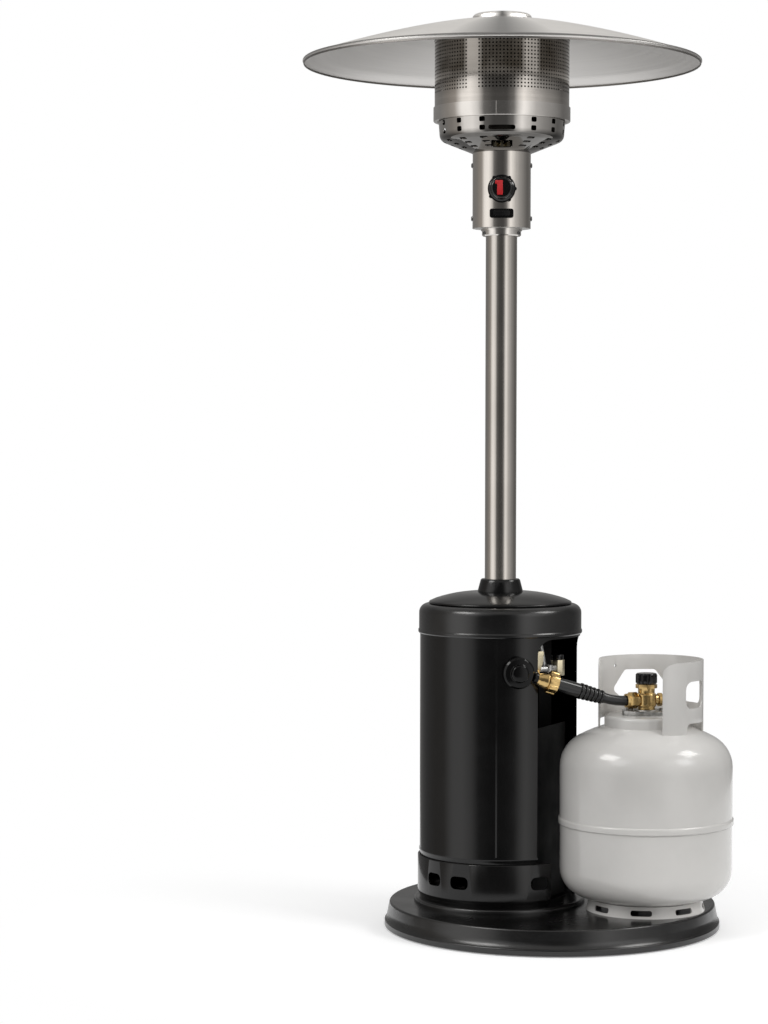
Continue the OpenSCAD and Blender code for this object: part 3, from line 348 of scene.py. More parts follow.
class HEATER_OT_finishes(bpy.types.Operator):
    """Mix the finishes of all pieces."""
    bl_idname = "heater.finishes"
    bl_label = "Mix finishes"

    def execute(self, context):
        c = context.scene.heater_colours
        axis = tuple(HEATER)
        upright, ringed = (1100.0, 1100.0, 7.0), (5.0, 1500.0, 300.0)
        coat_finish("powder_black", c.coat, (0.12, 0.2), 850.0, 0.02, level=0.4, dust=(0.0, 0.2, 0.015))
        coat_finish("base_black", c.coat, (0.19, 0.28), 850.0, 0.02, level=0.64, dust=(0.0, 0.1, 0.02))
        # The inside coat is the black coat painted darker, as painted shade inside the housing.
        coat_finish("inside_black", scaled(c.coat, 0.7), (0.45, 0.6), 600.0, 0.15, level=0.1)
        brushed_finish("brushed_post", c.steel, (0.1, 0.2), upright)
        brushed_finish("brushed_control", scaled(c.steel, 1.1), (0.08, 0.16), upright)
        # The hood's finish has painted highlight fans, a painted lighter top and a painted dark lip.
        self.hood_finish(c.hood, axis, ringed)
        # The hem's dark steel is painted shade under the hood's rim.
        brushed_finish("hem_steel", (0.2, 0.19, 0.18), (0.3, 0.4), ringed, axis)
        # The bowl's cone is painted dark as shade.
        self.bowl_finish(scaled(c.polish, 0.8), (0.03, 0.09))
        polished_finish("polished_band", c.polish, (0.08, 0.18), 0.03)
        # The emitter's finish mixes a tan with painted shade near the top and painted highlight fans.
        self.emitter_finish(c.steel, axis)
        coat_finish("tank_enamel", c.enamel, (0.14, 0.2), 420.0, 0.015, dust=(0.04, 0.16, 0.06),
                    coat=0.15, shade=0.02)
        self.brass_finish("brass", c.brass, (0.16, 0.28))
        self.brass_finish("brass_dark", scaled(c.brass, 0.7), (0.28, 0.45))
        coat_finish("gloss_plastic", (0.003, 0.003, 0.0032), (0.08, 0.16), 900.0, 0.02)
        coat_finish("regulator_black", (0.002, 0.002, 0.0021), (0.06, 0.14), 900.0, 0.02, level=0.22)
        coat_finish("satin_plastic", (0.005, 0.005, 0.0053), (0.2, 0.3), 1400.0, 0.06, level=0.45)
        coat_finish("red_plastic", c.pointer, (0.26, 0.36), 1200.0, 0.06, shade=0.08)
        coat_finish("hose_rubber", (0.004, 0.004, 0.0043), (0.2, 0.3), 1500.0, 0.06)
        coat_finish("pad_rubber", (0.012, 0.012, 0.012), (0.6, 0.75), 500.0, 0.4, level=0.3)
        coat_finish("pale_plastic", (0.62, 0.58, 0.48), (0.35, 0.5), 900.0, 0.1, level=0.45, shade=0.05)
        coat_finish("cast_stone", (0.28, 0.27, 0.25), (0.8, 0.95), 160.0, 0.6)
        self.zinc_finish()
        polished_finish("bright_fastener", (0.6, 0.585, 0.56), (0.2, 0.34), 0.05, 60.0)
        polished_finish("cast_aluminium", (0.55, 0.55, 0.54), (0.38, 0.52), 0.2, 80.0)
        # Burner steel is the burner's own dark steel and also the painted shade on inward faces.
        polished_finish("burner_steel", (0.05, 0.045, 0.04), (0.45, 0.6), 0.06, 30.0)
        polished_finish("gilt_zinc", (0.74, 0.66, 0.47), (0.22, 0.38), 0.08, 60.0)
        polished_finish("dark_fastener", (0.1, 0.1, 0.1), (0.22, 0.36), 0.05, 60.0)
        return {"FINISHED"}

    def hood_finish(self, colour, axis, rings):
        """Spun steel with rings round the axis; its fans of light and dark are painted highlight and shade,
        its top side is painted lighter than its underside, and its lip is painted dark as shade.
        """
        tree, shader, place = start_finish("satin_hood", Metallic=1.0)
        way = use(tree, round_axis(), Vector=place, Centre=axis)
        line = use(tree, brushed_lines(), Vector=way, Scale=rings, Contrast=0.5)
        turn, away, _ = xyz(tree, way)
        # Painted fans: wedges of lighter and darker steel by turn round the axis, as painted highlight and
        # shade.
        side = calc(tree, "PINGPONG", turn, pi / 2)
        painted_fan = calc(tree, "MULTIPLY", spread(tree, side, 0.02, 0.27),
                   spread(tree, side, 0.5, 0.9, 1.0, 0.82))
        facing = put(tree, "ShaderNodeNewGeometry").outputs["Normal"]
        # The top side is painted lighter than the underside as painted highlight; bright is that lighter
        # steel.
        painted_lit_top = spread(tree, xyz(tree, facing)[2], -0.1, 0.1)
        under = tint(tree, line, scaled(colour, 0.93), scaled(colour, 1.03))
        bright = tint(tree, line, scaled(colour, 1.26), scaled(colour, 1.34))
        low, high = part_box("reflector_hood")
        rim = (high[0] - low[0]) / 2
        # The lip on the top is painted dark, as painted shade.
        painted_dark_lip = spread(tree, away, rim - 0.016, rim - 0.009)
        top = tint(tree, painted_dark_lip, tint(tree, painted_fan, scaled(colour, 0.33), bright), scaled(colour, 0.3))
        give(tree, shader, tint(tree, painted_lit_top, under, top),
             spread(tree, line, 0.0, 1.0, 0.3, 0.42), line, 0.06, 0.0002)

    def bowl_finish(self, colour, rough):
        """Polished sheet whose cone below the wall is painted dark as shade."""
        tree, shader, place = start_finish("polished_bowl", Metallic=1.0)
        smear = use(tree, smudges(), Vector=place, Scale=14.0)
        height = xyz(tree, place)[2]
        steel = tint(tree, smear, scaled(colour, 0.94), scaled(colour, 1.05))
        # The cone under the wall is painted much darker, as painted shade.
        painted_shade_cone = tint(tree, smear, scaled(colour, 0.2), scaled(colour, 0.32))
        give(tree, shader, tint(tree, spread(tree, height, 1.432, 1.442), painted_shade_cone, steel),
             spread(tree, smear, 0.0, 1.0, *rough), noise(tree, place, 38.0, 2.0, 0.5), 0.03, 0.002)

    def emitter_finish(self, colour, axis):
        """Emitter sheet: bright steel, darker towards the top, where a tan from the burner and painted
        shade under the hood are mixed, and left brighter in two fans as painted highlights.
        """
        tree, shader, place = start_finish("heat_tanned_steel", Metallic=1.0)
        way = use(tree, round_axis(), Vector=place, Centre=axis)
        line = use(tree, brushed_lines(), Vector=way, Scale=(3.0, 900.0, 900.0), Contrast=0.5)
        height = xyz(tree, place)[2]
        patches = noise(tree, place, 14.0, 4.0, 0.6)
        # Tan and painted shade: darker towards the top, under the hood.
        tan_and_shade = calc(tree, "MULTIPLY", spread(tree, height, 1.5, 1.55),
                    spread(tree, patches, 0.3, 0.7, 0.75, 1.0))
        # Two fans round the axis keep less tan, as painted highlights.
        highlight_turn = 0.44
        turn = calc(tree, "ABSOLUTE", xyz(tree, way)[0])
        off_highlight = calc(tree, "ABSOLUTE", calc(tree, "SUBTRACT", turn, highlight_turn))
        tan_and_shade = calc(tree, "MULTIPLY", tan_and_shade, spread(tree, off_highlight, 0.08, 0.16, 0.2, 1.0))
        steel = tint(tree, line, scaled(colour, 0.95), scaled(colour, 1.18))
        tan_and_shade_colour = (0.054, 0.045, 0.034)
        rough = calc(tree, "ADD", spread(tree, line, 0.0, 1.0, 0.06, 0.11),
                     calc(tree, "MULTIPLY", tan_and_shade, 0.05))
        give(tree, shader, tint(tree, tan_and_shade, steel, tan_and_shade_colour), rough, line, 0.04, 0.0002)

    def brass_finish(self, name, colour, rough):
        """Turned and cast brass with duller patches."""
        tree, shader, place = start_finish(name, Metallic=1.0)
        smear = use(tree, smudges(), Vector=place, Scale=70.0)
        give(tree, shader, tint(tree, smear, scaled(colour, 0.86), scaled(colour, 1.1)),
             spread(tree, smear, 0.0, 1.0, *rough),
             use(tree, orange_peel(), Vector=place, Scale=900.0), 0.03, 0.0003)

    def zinc_finish(self):
        """Galvanised sheet and die-cast zinc with a soft spangle."""
        tree, shader, place = start_finish("zinc", Metallic=1.0)
        cells = put(tree, "ShaderNodeTexVoronoi", {"Vector": place, "Scale": 160.0}).outputs["Color"]
        shade = xyz(tree, cells)[0]
        give(tree, shader, tint(tree, shade, (0.34, 0.34, 0.33), (0.5, 0.495, 0.48)),
             spread(tree, shade, 0.0, 1.0, 0.34, 0.5), shade, 0.05, 0.0002)


# Pieces

def finish_of(name):
    """A finish by name; an unknown one is an error."""
    if name not in FINISH:
        raise RuntimeError("No finish is called " + name)
    return FINISH[name]


def show(name, data):
    """Puts a new object on the scene."""
    obj = bpy.data.objects.new(name, data)
    bpy.context.scene.collection.objects.link(obj)
    return obj


def shade_round(mesh, sharp=SHARP):
    """Shades a mesh round, apart from its edges."""
    mesh.shade_smooth()
    mesh.set_sharp_from_angle(angle=radians(sharp))


def coat_mesh(mesh, finish):
    """Leaves a mesh with one finish."""
    mesh.materials.clear()
    mesh.materials.append(finish_of(finish))


def piece(name, mesh, finish, body="heater", stands_for=(), sharp=SHARP):
    """Makes a mesh a piece of the heater that moves with a body."""
    shade_round(mesh, sharp)
    coat_mesh(mesh, finish)
    obj = show(name, mesh)
    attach(obj, body)
    if stands_for:
        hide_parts(*stands_for)
    return obj


def dress(finish, *nodes):
    """Gives CAD nodes that keep their own shape a finish."""
    for node in nodes:
        coat_mesh(NODES[node].data, finish)


def plain_mesh(name, bm):
    """Turns a bmesh into a mesh."""
    mesh = bpy.data.meshes.new(name)
    bm.to_mesh(mesh)
    bm.free()
    return mesh


def mesh_of(name, bm):
    """Turns a bmesh into a mesh with its faces pointing outward."""
    bmesh.ops.remove_doubles(bm, verts=bm.verts, dist=1e-6)
    bmesh.ops.recalc_face_normals(bm, faces=bm.faces)
    return plain_mesh(name, bm)


def refine(node, finish, edge=0.0, body="heater", even=False):
    """A copy of a CAD node with its triangles joined, its curves shaded round and its edges softened."""
    bm = bmesh.new()
    bm.from_mesh(NODES[node].data)
    bmesh.ops.remove_doubles(bm, verts=bm.verts, dist=2e-6)
    bmesh.ops.dissolve_limit(bm, angle_limit=radians(FLAT), use_dissolve_boundaries=False,
                             verts=bm.verts, edges=bm.edges)
    if edge:
        edges = [e for e in bm.edges if len(e.link_faces) == 2 and e.calc_face_angle(0.0) > radians(CORNER)]
        bmesh.ops.bevel(bm, geom=edges, offset=edge, segments=2, profile=0.6, affect="EDGES",
                        clamp_overlap=True)
    mesh = plain_mesh(node + "_fine", bm)
    if "custom_normal" in mesh.attributes:
        mesh.attributes.remove(mesh.attributes["custom_normal"])
    if even:
        mesh = even_shading(mesh)
    return piece(node + "_fine", mesh, finish, body, (node,))


def even_shading(mesh):
    """Shading in which broad faces stay true and only the small ones between them turn."""
    shade_round(mesh)
    start = show(mesh.name + "_start", mesh)
    weigh = start.modifiers.new("Even shading", "WEIGHTED_NORMAL")
    weigh.mode = "FACE_AREA"
    weigh.keep_sharp = True
    shaded = bpy.data.meshes.new_from_object(start.evaluated_get(bpy.context.evaluated_depsgraph_get()))
    shaded.name = mesh.name + "_shaded"
    bpy.data.objects.remove(start)
    return shaded


def paint_inside_shade(obj, upward=0.0):
    """Darkens, as painted shade, the faces that look in towards the heater axis and, with upward at 1,
    those that look up.
    """
    obj.data.materials.append(finish_of("burner_steel"))
    for face in obj.data.polygons:
        out = (face.center - HEATER).to_2d().normalized()
        if face.normal.to_2d().dot(out) - upward * face.normal.z < -0.5:
            face.material_index = 1
    return obj


def lathe(name, profile, centre=Vector(), turn=Matrix.Identity(3), segments=96, closed=True):
    """Turns a profile of (radius, height) points in millimetres about an axis through centre."""
    bm = bmesh.new()
    rings = []
    for radius, height in profile:
        steps = segments if radius > 1e-6 else 1
        points = [Vector((radius * sin(a), -radius * cos(a), height)) * MM
                  for a in (tau * k / steps for k in range(steps))]
        rings.append([bm.verts.new(centre + turn @ point) for point in points])
    pairs = list(zip(rings, rings[1:])) + ([(rings[-1], rings[0])] if closed else [])
    for low, high in pairs:
        if len(low) == 1 and len(high) == 1:
            continue
        for k in range(segments):
            j = (k + 1) % segments
            corners = [low[k % len(low)], low[j % len(low)], high[j % len(high)], high[k % len(high)]]
            unique = list(dict.fromkeys(corners))
            if len(unique) > 2:
                bm.faces.new(unique)
    return mesh_of(name, bm)


def toward(way):
    """A turn that points a piece's own up along a direction."""
    return way.to_track_quat("Z", "Y").to_matrix()


def outward(turn):
    """The direction away from an upright axis, turned round from the front."""
    return Vector((sin(turn), -cos(turn), 0.0))


def wrap_strip(name, centre, radius, low, high, turn, wide, proud, steps=6):
    """A thin upright strip that lies on a round wall; sizes in millimetres."""
    bm = bmesh.new()
    half = wide / radius / 2
    root = radius - 0.4
    columns = []
    for k in range(steps + 1):
        way = outward(turn - half + 2 * half * k / steps)
        face = radius + proud * min(1.0, 2.5 * (1 - abs(2 * k / steps - 1)))
        columns.append([bm.verts.new(centre + (way * r + UP * z) * MM)
                        for r, z in ((root, low), (face, low), (face, high), (root, high))])
    for a, b in zip(columns, columns[1:]):
        for k in range(4):
            bm.faces.new((a[k], b[k], b[(k + 1) % 4], a[(k + 1) % 4]))
    bm.faces.new(columns[0])
    bm.faces.new(columns[-1][::-1])
    return mesh_of(name, bm)


# Geometry nodes

def sheet_of_holes():
    """Cells with and without a hole, set out in columns and rows and wrapped round an axis."""
    name = "Sheet of holes"
    if name in bpy.data.node_groups:
        return bpy.data.node_groups[name]
    tree, start, end = new_tree(name, "GeometryNodeTree", [
        ("Geometry", "Geometry", None), ("Cell", "Object", None), ("Plain cell", "Object", None),
        ("Columns", "Int", 120), ("Rows", "Int", 15), ("Pitch", "Float", 0.0064),
        ("Radius", "Float", 0.122), ("Bottom", "Float", 0.0), ("Centre", "Float", 0.0),
        ("Strip middle", "Float", 0.0), ("Strip half", "Float", 0.0), ("Finish", "Material", None)],
        [("Geometry", "Geometry")])
    given = start.outputs
    wide = calc(tree, "MULTIPLY", given["Pitch"], calc(tree, "SUBTRACT", given["Columns"], 1.0))
    tall = calc(tree, "MULTIPLY", given["Pitch"], calc(tree, "SUBTRACT", given["Rows"], 1.0))
    grid = put(tree, "GeometryNodeMeshGrid", {
        "Size X": wide, "Size Y": tall, "Vertices X": given["Columns"], "Vertices Y": given["Rows"]})
    across = xyz(tree, tree.nodes.new("GeometryNodeInputPosition").outputs[0])[0]
    off = calc(tree, "ABSOLUTE", calc(tree, "SUBTRACT", across, given["Strip middle"]))
    holed = calc(tree, "GREATER_THAN", off, given["Strip half"])
    copies = []
    for label, chosen in (("Cell", holed), ("Plain cell", calc(tree, "SUBTRACT", 1.0, holed))):
        cell = put(tree, "GeometryNodeObjectInfo", {"Object": given[label]})
        copies.append(put(tree, "GeometryNodeInstanceOnPoints", {
            "Points": grid.outputs[0], "Selection": chosen, "Instance": cell.outputs["Geometry"]}))
    joined = tree.nodes.new("GeometryNodeJoinGeometry")
    for copy in copies:
        tree.links.new(copy.outputs[0], joined.inputs[0])
    flat = put(tree, "GeometryNodeRealizeInstances", {0: joined.outputs[0]}).outputs[0]
    x, y, z = xyz(tree, tree.nodes.new("GeometryNodeInputPosition").outputs[0])
    turn = calc(tree, "DIVIDE", x, given["Radius"])
    away = calc(tree, "ADD", z, given["Radius"])
    lift = calc(tree, "MULTIPLY", calc(tree, "ADD", tall, given["Pitch"]), 0.5)
    round_it = put(tree, "ShaderNodeCombineXYZ", {
        0: calc(tree, "ADD", calc(tree, "MULTIPLY", away, calc(tree, "SINE", turn)), given["Centre"]),
        1: calc(tree, "MULTIPLY", calc(tree, "MULTIPLY", away, calc(tree, "COSINE", turn)), -1.0),
        2: calc(tree, "ADD", calc(tree, "ADD", y, lift), given["Bottom"])})
    wrapped = put(tree, "GeometryNodeSetPosition", {"Geometry": flat, "Position": round_it.outputs[0]})
    welded = put(tree, "GeometryNodeMergeByDistance", {"Geometry": wrapped.outputs[0], "Distance": 2e-5})
    return close_tree(tree, welded, given["Finish"], end)


def close_tree(tree, last, finish, end):
    """Ends a tree with plain geometry in one finish."""
    solid = put(tree, "GeometryNodeRealizeInstances", {0: last.outputs[0]})
    done = put(tree, "GeometryNodeSetMaterial", {"Geometry": solid.outputs[0], "Material": finish})
    tree.links.new(done.outputs[0], end.inputs[0])
    return tree


def set_of_parts():
    """Copies of one part on points, each turned to the point's facing and scaled to its size."""
    name = "Set of parts"
    if name in bpy.data.node_groups:
        return bpy.data.node_groups[name]
    tree, start, end = new_tree(name, "GeometryNodeTree", [
        ("Geometry", "Geometry", None), ("Part", "Object", None), ("Scale", "Float", 1.0),
        ("Finish", "Material", None)], [("Geometry", "Geometry")])
    part = put(tree, "GeometryNodeObjectInfo", {"Object": start.outputs["Part"]})
    facing = put(tree, "GeometryNodeInputNamedAttribute", {"Name": "facing"}, data_type="FLOAT_VECTOR")
    size = put(tree, "GeometryNodeInputNamedAttribute", {"Name": "size"}, data_type="FLOAT")
    turn = put(tree, "FunctionNodeAlignRotationToVector", {"Vector": live(facing)}, axis="Z")
    scale = calc(tree, "MULTIPLY", live(size), start.outputs["Scale"])
    copies = put(tree, "GeometryNodeInstanceOnPoints", {
        "Points": start.outputs["Geometry"], "Instance": part.outputs["Geometry"],
        "Rotation": turn.outputs[0], "Scale": scale})
    return close_tree(tree, copies, start.outputs["Finish"], end)


def grow(name, tree, start, parts, **values):
    """Runs a Geometry Nodes tree on a mesh and gives the result as a plain mesh."""
    seed = show(name + "_seed", start)
    modifier = seed.modifiers.new("Nodes", "NODES")
    modifier.node_group = tree
    for item in tree.interface.items_tree:
        label = item.name.replace(" ", "_")
        if item.item_type == "SOCKET" and item.in_out == "INPUT" and label in values:
            modifier[item.identifier] = values[label]
    mesh = bpy.data.meshes.new_from_object(seed.evaluated_get(bpy.context.evaluated_depsgraph_get()))
    mesh.name = name
    for obj in (seed, *parts):
        bpy.data.objects.remove(obj)
    if not mesh.polygons:
        raise RuntimeError(name + " came out empty")
    return mesh


def points_mesh(name, places):
    """Points with a facing and a size for each (place, facing, size)."""
    mesh = bpy.data.meshes.new(name)
    mesh.from_pydata([p for p, _, _ in places], [], [])
    for label, kind in (("facing", "FLOAT_VECTOR"), ("size", "FLOAT")):
        mesh.attributes.new(label, kind, "POINT")
    for k, (_, way, scale) in enumerate(places):
        mesh.attributes["facing"].data[k].vector = way
        mesh.attributes["size"].data[k].value = scale
    return mesh


def part_object(name, mesh):
    """A part for a tree to copy."""
    shade_round(mesh)
    return show(name, mesh)


def set_out(name, part, places, finish, scale=1.0):
    """Copies a part to places with the Set of parts tree."""
    return grow(name, set_of_parts(), points_mesh(name + "_points", places), [part], Part=part,
                Scale=scale, Finish=finish_of(finish))


# Operators

class HEATER_OT_camera(bpy.types.Operator):
    """Stand the camera in front of the heater, a little above its middle."""
    bl_idname = "heater.camera"
    bl_label = "Aim camera"

    def execute(self, context):
        s = context.scene.heater_stage
        data = bpy.data.cameras.new("front_camera")
        data.sensor_width = 36.0
        data.sensor_fit = "AUTO"
        data.lens = s.lens
        data.shift_x = s.shift
        data.clip_end = 200.0
        camera = show("front_camera", data)
        camera.location = (HEATER.x, -s.distance, s.height)
        turn = Matrix.Rotation(s.pan, 3, "Z") @ Matrix.Rotation(pi / 2 - s.tilt, 3, "X")
        camera.rotation_euler = (turn @ Matrix.Rotation(s.roll, 3, "Z")).to_euler()
        context.scene.camera = camera
        return {"FINISHED"}


class HEATER_OT_hose(bpy.types.Operator):
    """Lay the gas hose from its sleeve to the cylinder valve, with its ribbed strain relief."""
    bl_idname = "heater.hose"
    bl_label = "Lay gas hose"

    def execute(self, context):
        curve = bpy.data.curves.new("gas_hose_line", "CURVE")
        curve.dimensions = "3D"
        curve.bevel_depth = HOSE_DIAMETER / 2
        curve.bevel_resolution = 6
        curve.use_fill_caps = True
        spline = curve.splines.new("POLY")
        line = self.smooth(HOSE_ROUTE)
        spline.points.add(len(line) - 1)
        for point, place in zip(spline.points, line):
            point.co = (*place, 1.0)
        spline.use_smooth = True
        curve.materials.append(finish_of("hose_rubber"))
        hose = show("gas_hose_line", curve)
        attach(hose, "heater")
        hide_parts("gas_hose")
        self.relief(context.scene.heater_sizes.relief_ribs)
        refine("hose_sleeve", "gloss_plastic")
        return {"FINISHED"}

    def smooth(self, route):
        """The route with points between its points on a smooth curve."""
        ends = [route[0] * 2 - route[1], *route, route[-1] * 2 - route[-2]]
        line = []
        for a, b, c, d in zip(ends, ends[1:], ends[2:], ends[3:]):
            for t in (0.0, 0.5):
                line.append(0.5 * (2 * b + (c - a) * t + (2 * a - 5 * b + 4 * c - d) * t * t
                                   + (3 * b - a - 3 * c + d) * t ** 3))
        return line + [route[-1]]

    def relief(self, ribs):
        """Rounded ribs on a tapered sleeve along the gas line."""
        pitch, start, taper, segments = 8.0, 118.0, 0.178, 40
        bore, far = 9.3, ribs * pitch
        core = lathe("relief_core", [(bore, 0), (12.2, 0), (12.2, 1), (9.9, far), (bore, far)],
                     LINE_START + LINE_WAY * start * MM, toward(LINE_WAY), segments)
        rib = lathe("relief_rib", [(11.0, 0.0), (13.6, 0.0), (14.3, 0.35), (14.6, 1.1), (14.6, 3.7),
                                   (14.3, 4.45), (13.6, 4.8), (11.0, 4.8)], segments=segments)
        places = [(LINE_START + LINE_WAY * (start + k * pitch) * MM, LINE_WAY, 1 - taper * k / ribs)
                  for k in range(ribs)]
        mesh = set_out("strain_relief_ribs", part_object("relief_rib", rib), places, "satin_plastic")
        piece("strain_relief_ribs", mesh, "satin_plastic",
              stands_for=("strain_relief",))
        piece("strain_relief_core", core, "satin_plastic")


class HEATER_OT_stage(bpy.types.Operator):
    """Lay the floor and set the studio light."""
    bl_idname = "heater.stage"
    bl_label = "Set stage"

    def execute(self, context):
        s = context.scene.heater_stage
        context.scene.view_settings.view_transform = "Standard"
        self.floor()
        self.world(context.scene, s.ambient)
        self.lamp("key_light", (-2.6, -3.0, 3.3), target=(0.0, 0.0, 0.7), size=1.8, power=50.0)
        self.lamp("fill_light", (3.4, -2.1, 3.0), target=(0.0, 0.0, 0.6), size=1.6, power=72.0)
        self.flags()
        self.softbox("left_softbox", turn=radians(-62), height=2.5, wide=1.1, high=0.9)
        self.softbox("right_softbox", turn=radians(84), height=2.5, wide=0.9, high=0.8)
        return {"FINISHED"}

    def floor(self):
        """A wide pale floor that fades to plain white away from the heater."""
        tree, shader, place = start_finish(
            "pale_floor", **{"Specular IOR Level": 0.0, "Emission Strength": 1.0})
        mottle = noise(tree, place, 3.0, 3.0, 0.5)
        away = put(tree, "ShaderNodeVectorMath", {0: place}, operation="LENGTH").outputs["Value"]
        far = spread(tree, away, 0.4, 1.0)
        black, white = (0.0, 0.0, 0.0), (1.0, 1.0, 1.0)
        pale = tint(tree, mottle, (0.9, 0.9, 0.9), (0.92, 0.92, 0.92))
        give(tree, shader, tint(tree, far, pale, black), spread(tree, mottle, 0.0, 1.0, 0.8, 0.9))
        glow = tint(tree, far, (0.29, 0.29, 0.29), white)
        tree.links.new(tint(tree, self.seen(tree), black, glow), shader.inputs["Emission Color"])
        bm = bmesh.new()
        bmesh.ops.create_circle(bm, cap_ends=True, segments=64, radius=40.0)
        self.stand("floor", bm, "pale_floor")

    def stand(self, name, bm, finish):
        """Puts a mesh on the stage."""
        mesh = plain_mesh(name, bm)
        coat_mesh(mesh, finish)
        obj = show(name, mesh)
        return obj

    def seen(self, tree):
        """Whether a ray comes from the camera, a mirror or clear matter."""
        ray = tree.nodes.new("ShaderNodeLightPath").outputs
        mirrored = calc(tree, "MAXIMUM", ray["Is Glossy Ray"], ray["Is Transmission Ray"])
        return calc(tree, "MAXIMUM", ray["Is Camera Ray"], mirrored)

    def world(self, scene, ambient):
        """Even light from all round; the camera and mirrors see plain white."""
        world = bpy.data.worlds.new("studio")
        world.use_nodes = True
        tree = world.node_tree
        tree.nodes.clear()
        light, white = (put(tree, "ShaderNodeBackground", {"Color": (1, 1, 1, 1), "Strength": strength})
                        for strength in (ambient, 1.0))
        mixed = put(tree, "ShaderNodeMixShader",
                    {0: self.seen(tree), 1: light.outputs[0], 2: white.outputs[0]})
        end = tree.nodes.new("ShaderNodeOutputWorld")
        tree.links.new(mixed.outputs[0], end.inputs[0])
        scene.world = world

    def lamp(self, name, place, target, size, power):
        """A square soft light aimed at a point."""
        data = bpy.data.lights.new(name, "AREA")
        data.size = size
        data.energy = power
        lamp = show(name, data)
        lamp.location = place
        lamp.rotation_euler = (Vector(target) - Vector(place)).to_track_quat("-Z", "Y").to_euler()

    def lit(self, name, strength):
        """A new material that gives light and reflects none."""
        return start_finish(name, **{"Base Color": (0.0, 0.0, 0.0, 1.0), "Specular IOR Level": 0.0,
                                     "Emission Strength": strength})

    def flags(self):
        """A ring of light panels and dark flags under an even roof, which shows only in gloss and metal."""
        tree, shader, place = self.lit("studio_flags", 1.1)
        way = use(tree, round_axis(), Vector=place, Centre=tuple(HEATER))
        turn, _, height = xyz(tree, way)
        ramp = put(tree, "ShaderNodeValToRGB", {0: spread(tree, turn, -pi, pi)})
        stops = ramp.color_ramp.elements
        panels = ((-180, 0.3), (-150, 0.22), (-124, 0.22), (-102, 0.28), (-84, 0.4), (-70, 1.1),
                  (-54, 1.2), (-40, 0.8), (-30, 0.16), (-14, 0.08), (8, 0.08), (20, 0.2), (28, 0.8),
                  (36, 1.2), (46, 0.9), (58, 0.58), (80, 0.36), (120, 0.14), (150, 0.18), (180, 0.3))
        for degrees, level in panels:
            share = degrees / 360 + 0.5
            stop = stops[0] if share <= 0 else stops[-1] if share >= 1 else stops.new(share)
            warm = 0.06 if -110 < degrees < -70 else 0.015
            stop.color = (level, level * (1 - warm), level * (1 - 2 * warm), 1.0)
        roof = tint(tree, spread(tree, height, 2.0, 2.7), ramp.outputs[0], (0.54, 0.53, 0.515))
        tree.links.new(roof, shader.inputs["Emission Color"])
        bm = bmesh.new()
        steps = 96
        wall = ((2.3, 0.01), (2.3, 2.05), (2.0, 2.8), (1.3, 3.4), (0.5, 3.65))
        columns = [[bm.verts.new(HEATER + outward(tau * k / steps) * away + UP * z) for away, z in wall]
                   for k in range(steps)]
        for a, b in zip(columns, columns[1:] + columns[:1]):
            for j in range(len(wall) - 1):
                bm.faces.new((a[j], b[j], b[j + 1], a[j + 1]))
        self.only_in_gloss(self.stand("studio_flags", bm, "studio_flags"))

    def softbox(self, name, turn, height, wide, high):
        """A bright cloth panel, high up and tipped to the heater, that shows only in gloss and metal."""
        tree, shader, place = self.lit(name, 8.0)
        cloth = tint(tree, noise(tree, place, 2.0, 2.0, 0.5), (0.9, 0.89, 0.87), (1.0, 0.99, 0.97))
        tree.links.new(cloth, shader.inputs["Emission Color"])
        reach = 1.95
        way = outward(turn)
        side = UP.cross(way)
        rise = (UP * 0.8 - way * 0.6).normalized()
        middle = HEATER + way * reach + UP * height
        bm = bmesh.new()
        bm.faces.new([bm.verts.new(middle + side * x * wide / 2 + rise * y * high / 2)
                      for x, y in ((-1, -1), (1, -1), (1, 1), (-1, 1))])
        self.only_in_gloss(self.stand(name, bm, name))

    def only_in_gloss(self, obj):
        """Hides a stage piece from the camera, plain light and shadows."""
        obj.visible_camera = False
        obj.visible_diffuse = False
        obj.visible_shadow = False


class HEATER_OT_base(bpy.types.Operator):
    """Finish the base pan, its pad and the vented skirt."""
    bl_idname = "heater.base"
    bl_label = "Finish base"

    def execute(self, context):
        refine("base_pan", "base_black", even=True)
        refine("skirt_ring", "powder_black", even=True)
        dress("pad_rubber", "base_pad")
        dress("cast_stone", "ballast")
        return {"FINISHED"}


class HEATER_OT_housing(bpy.types.Operator):
    """Finish the housing with its lap seam, cap, lid and inner frame."""
    bl_idname = "heater.housing"
    bl_label = "Finish housing"

    def execute(self, context):
        for node in ("housing_shell", "housing_lid", "post_collar"):
            refine(node, "powder_black")
        refine("housing_cap", "base_black")
        seam = wrap_strip("housing_seam", HEATER, radius=146.0, low=146.0, high=535.5,
                          turn=radians(-2.4), wide=3.0, proud=0.12)
        piece("housing_seam", seam, "powder_black")
        # The legs, socket and panel inside take the coat painted darker as shade.
        dress("inside_black", "support_legs", "post_socket", "inner_panel")
        dress("bright_fastener", "leg_bolts")
        return {"FINISHED"}


class HEATER_OT_post(bpy.types.Operator):
    """Finish the post and the collar under the control housing."""
    bl_idname = "heater.post"
    bl_label = "Finish post"

    def execute(self, context):
        refine("post_tube", "brushed_post")
        refine("head_collar", "polished_band")
        return {"FINISHED"}


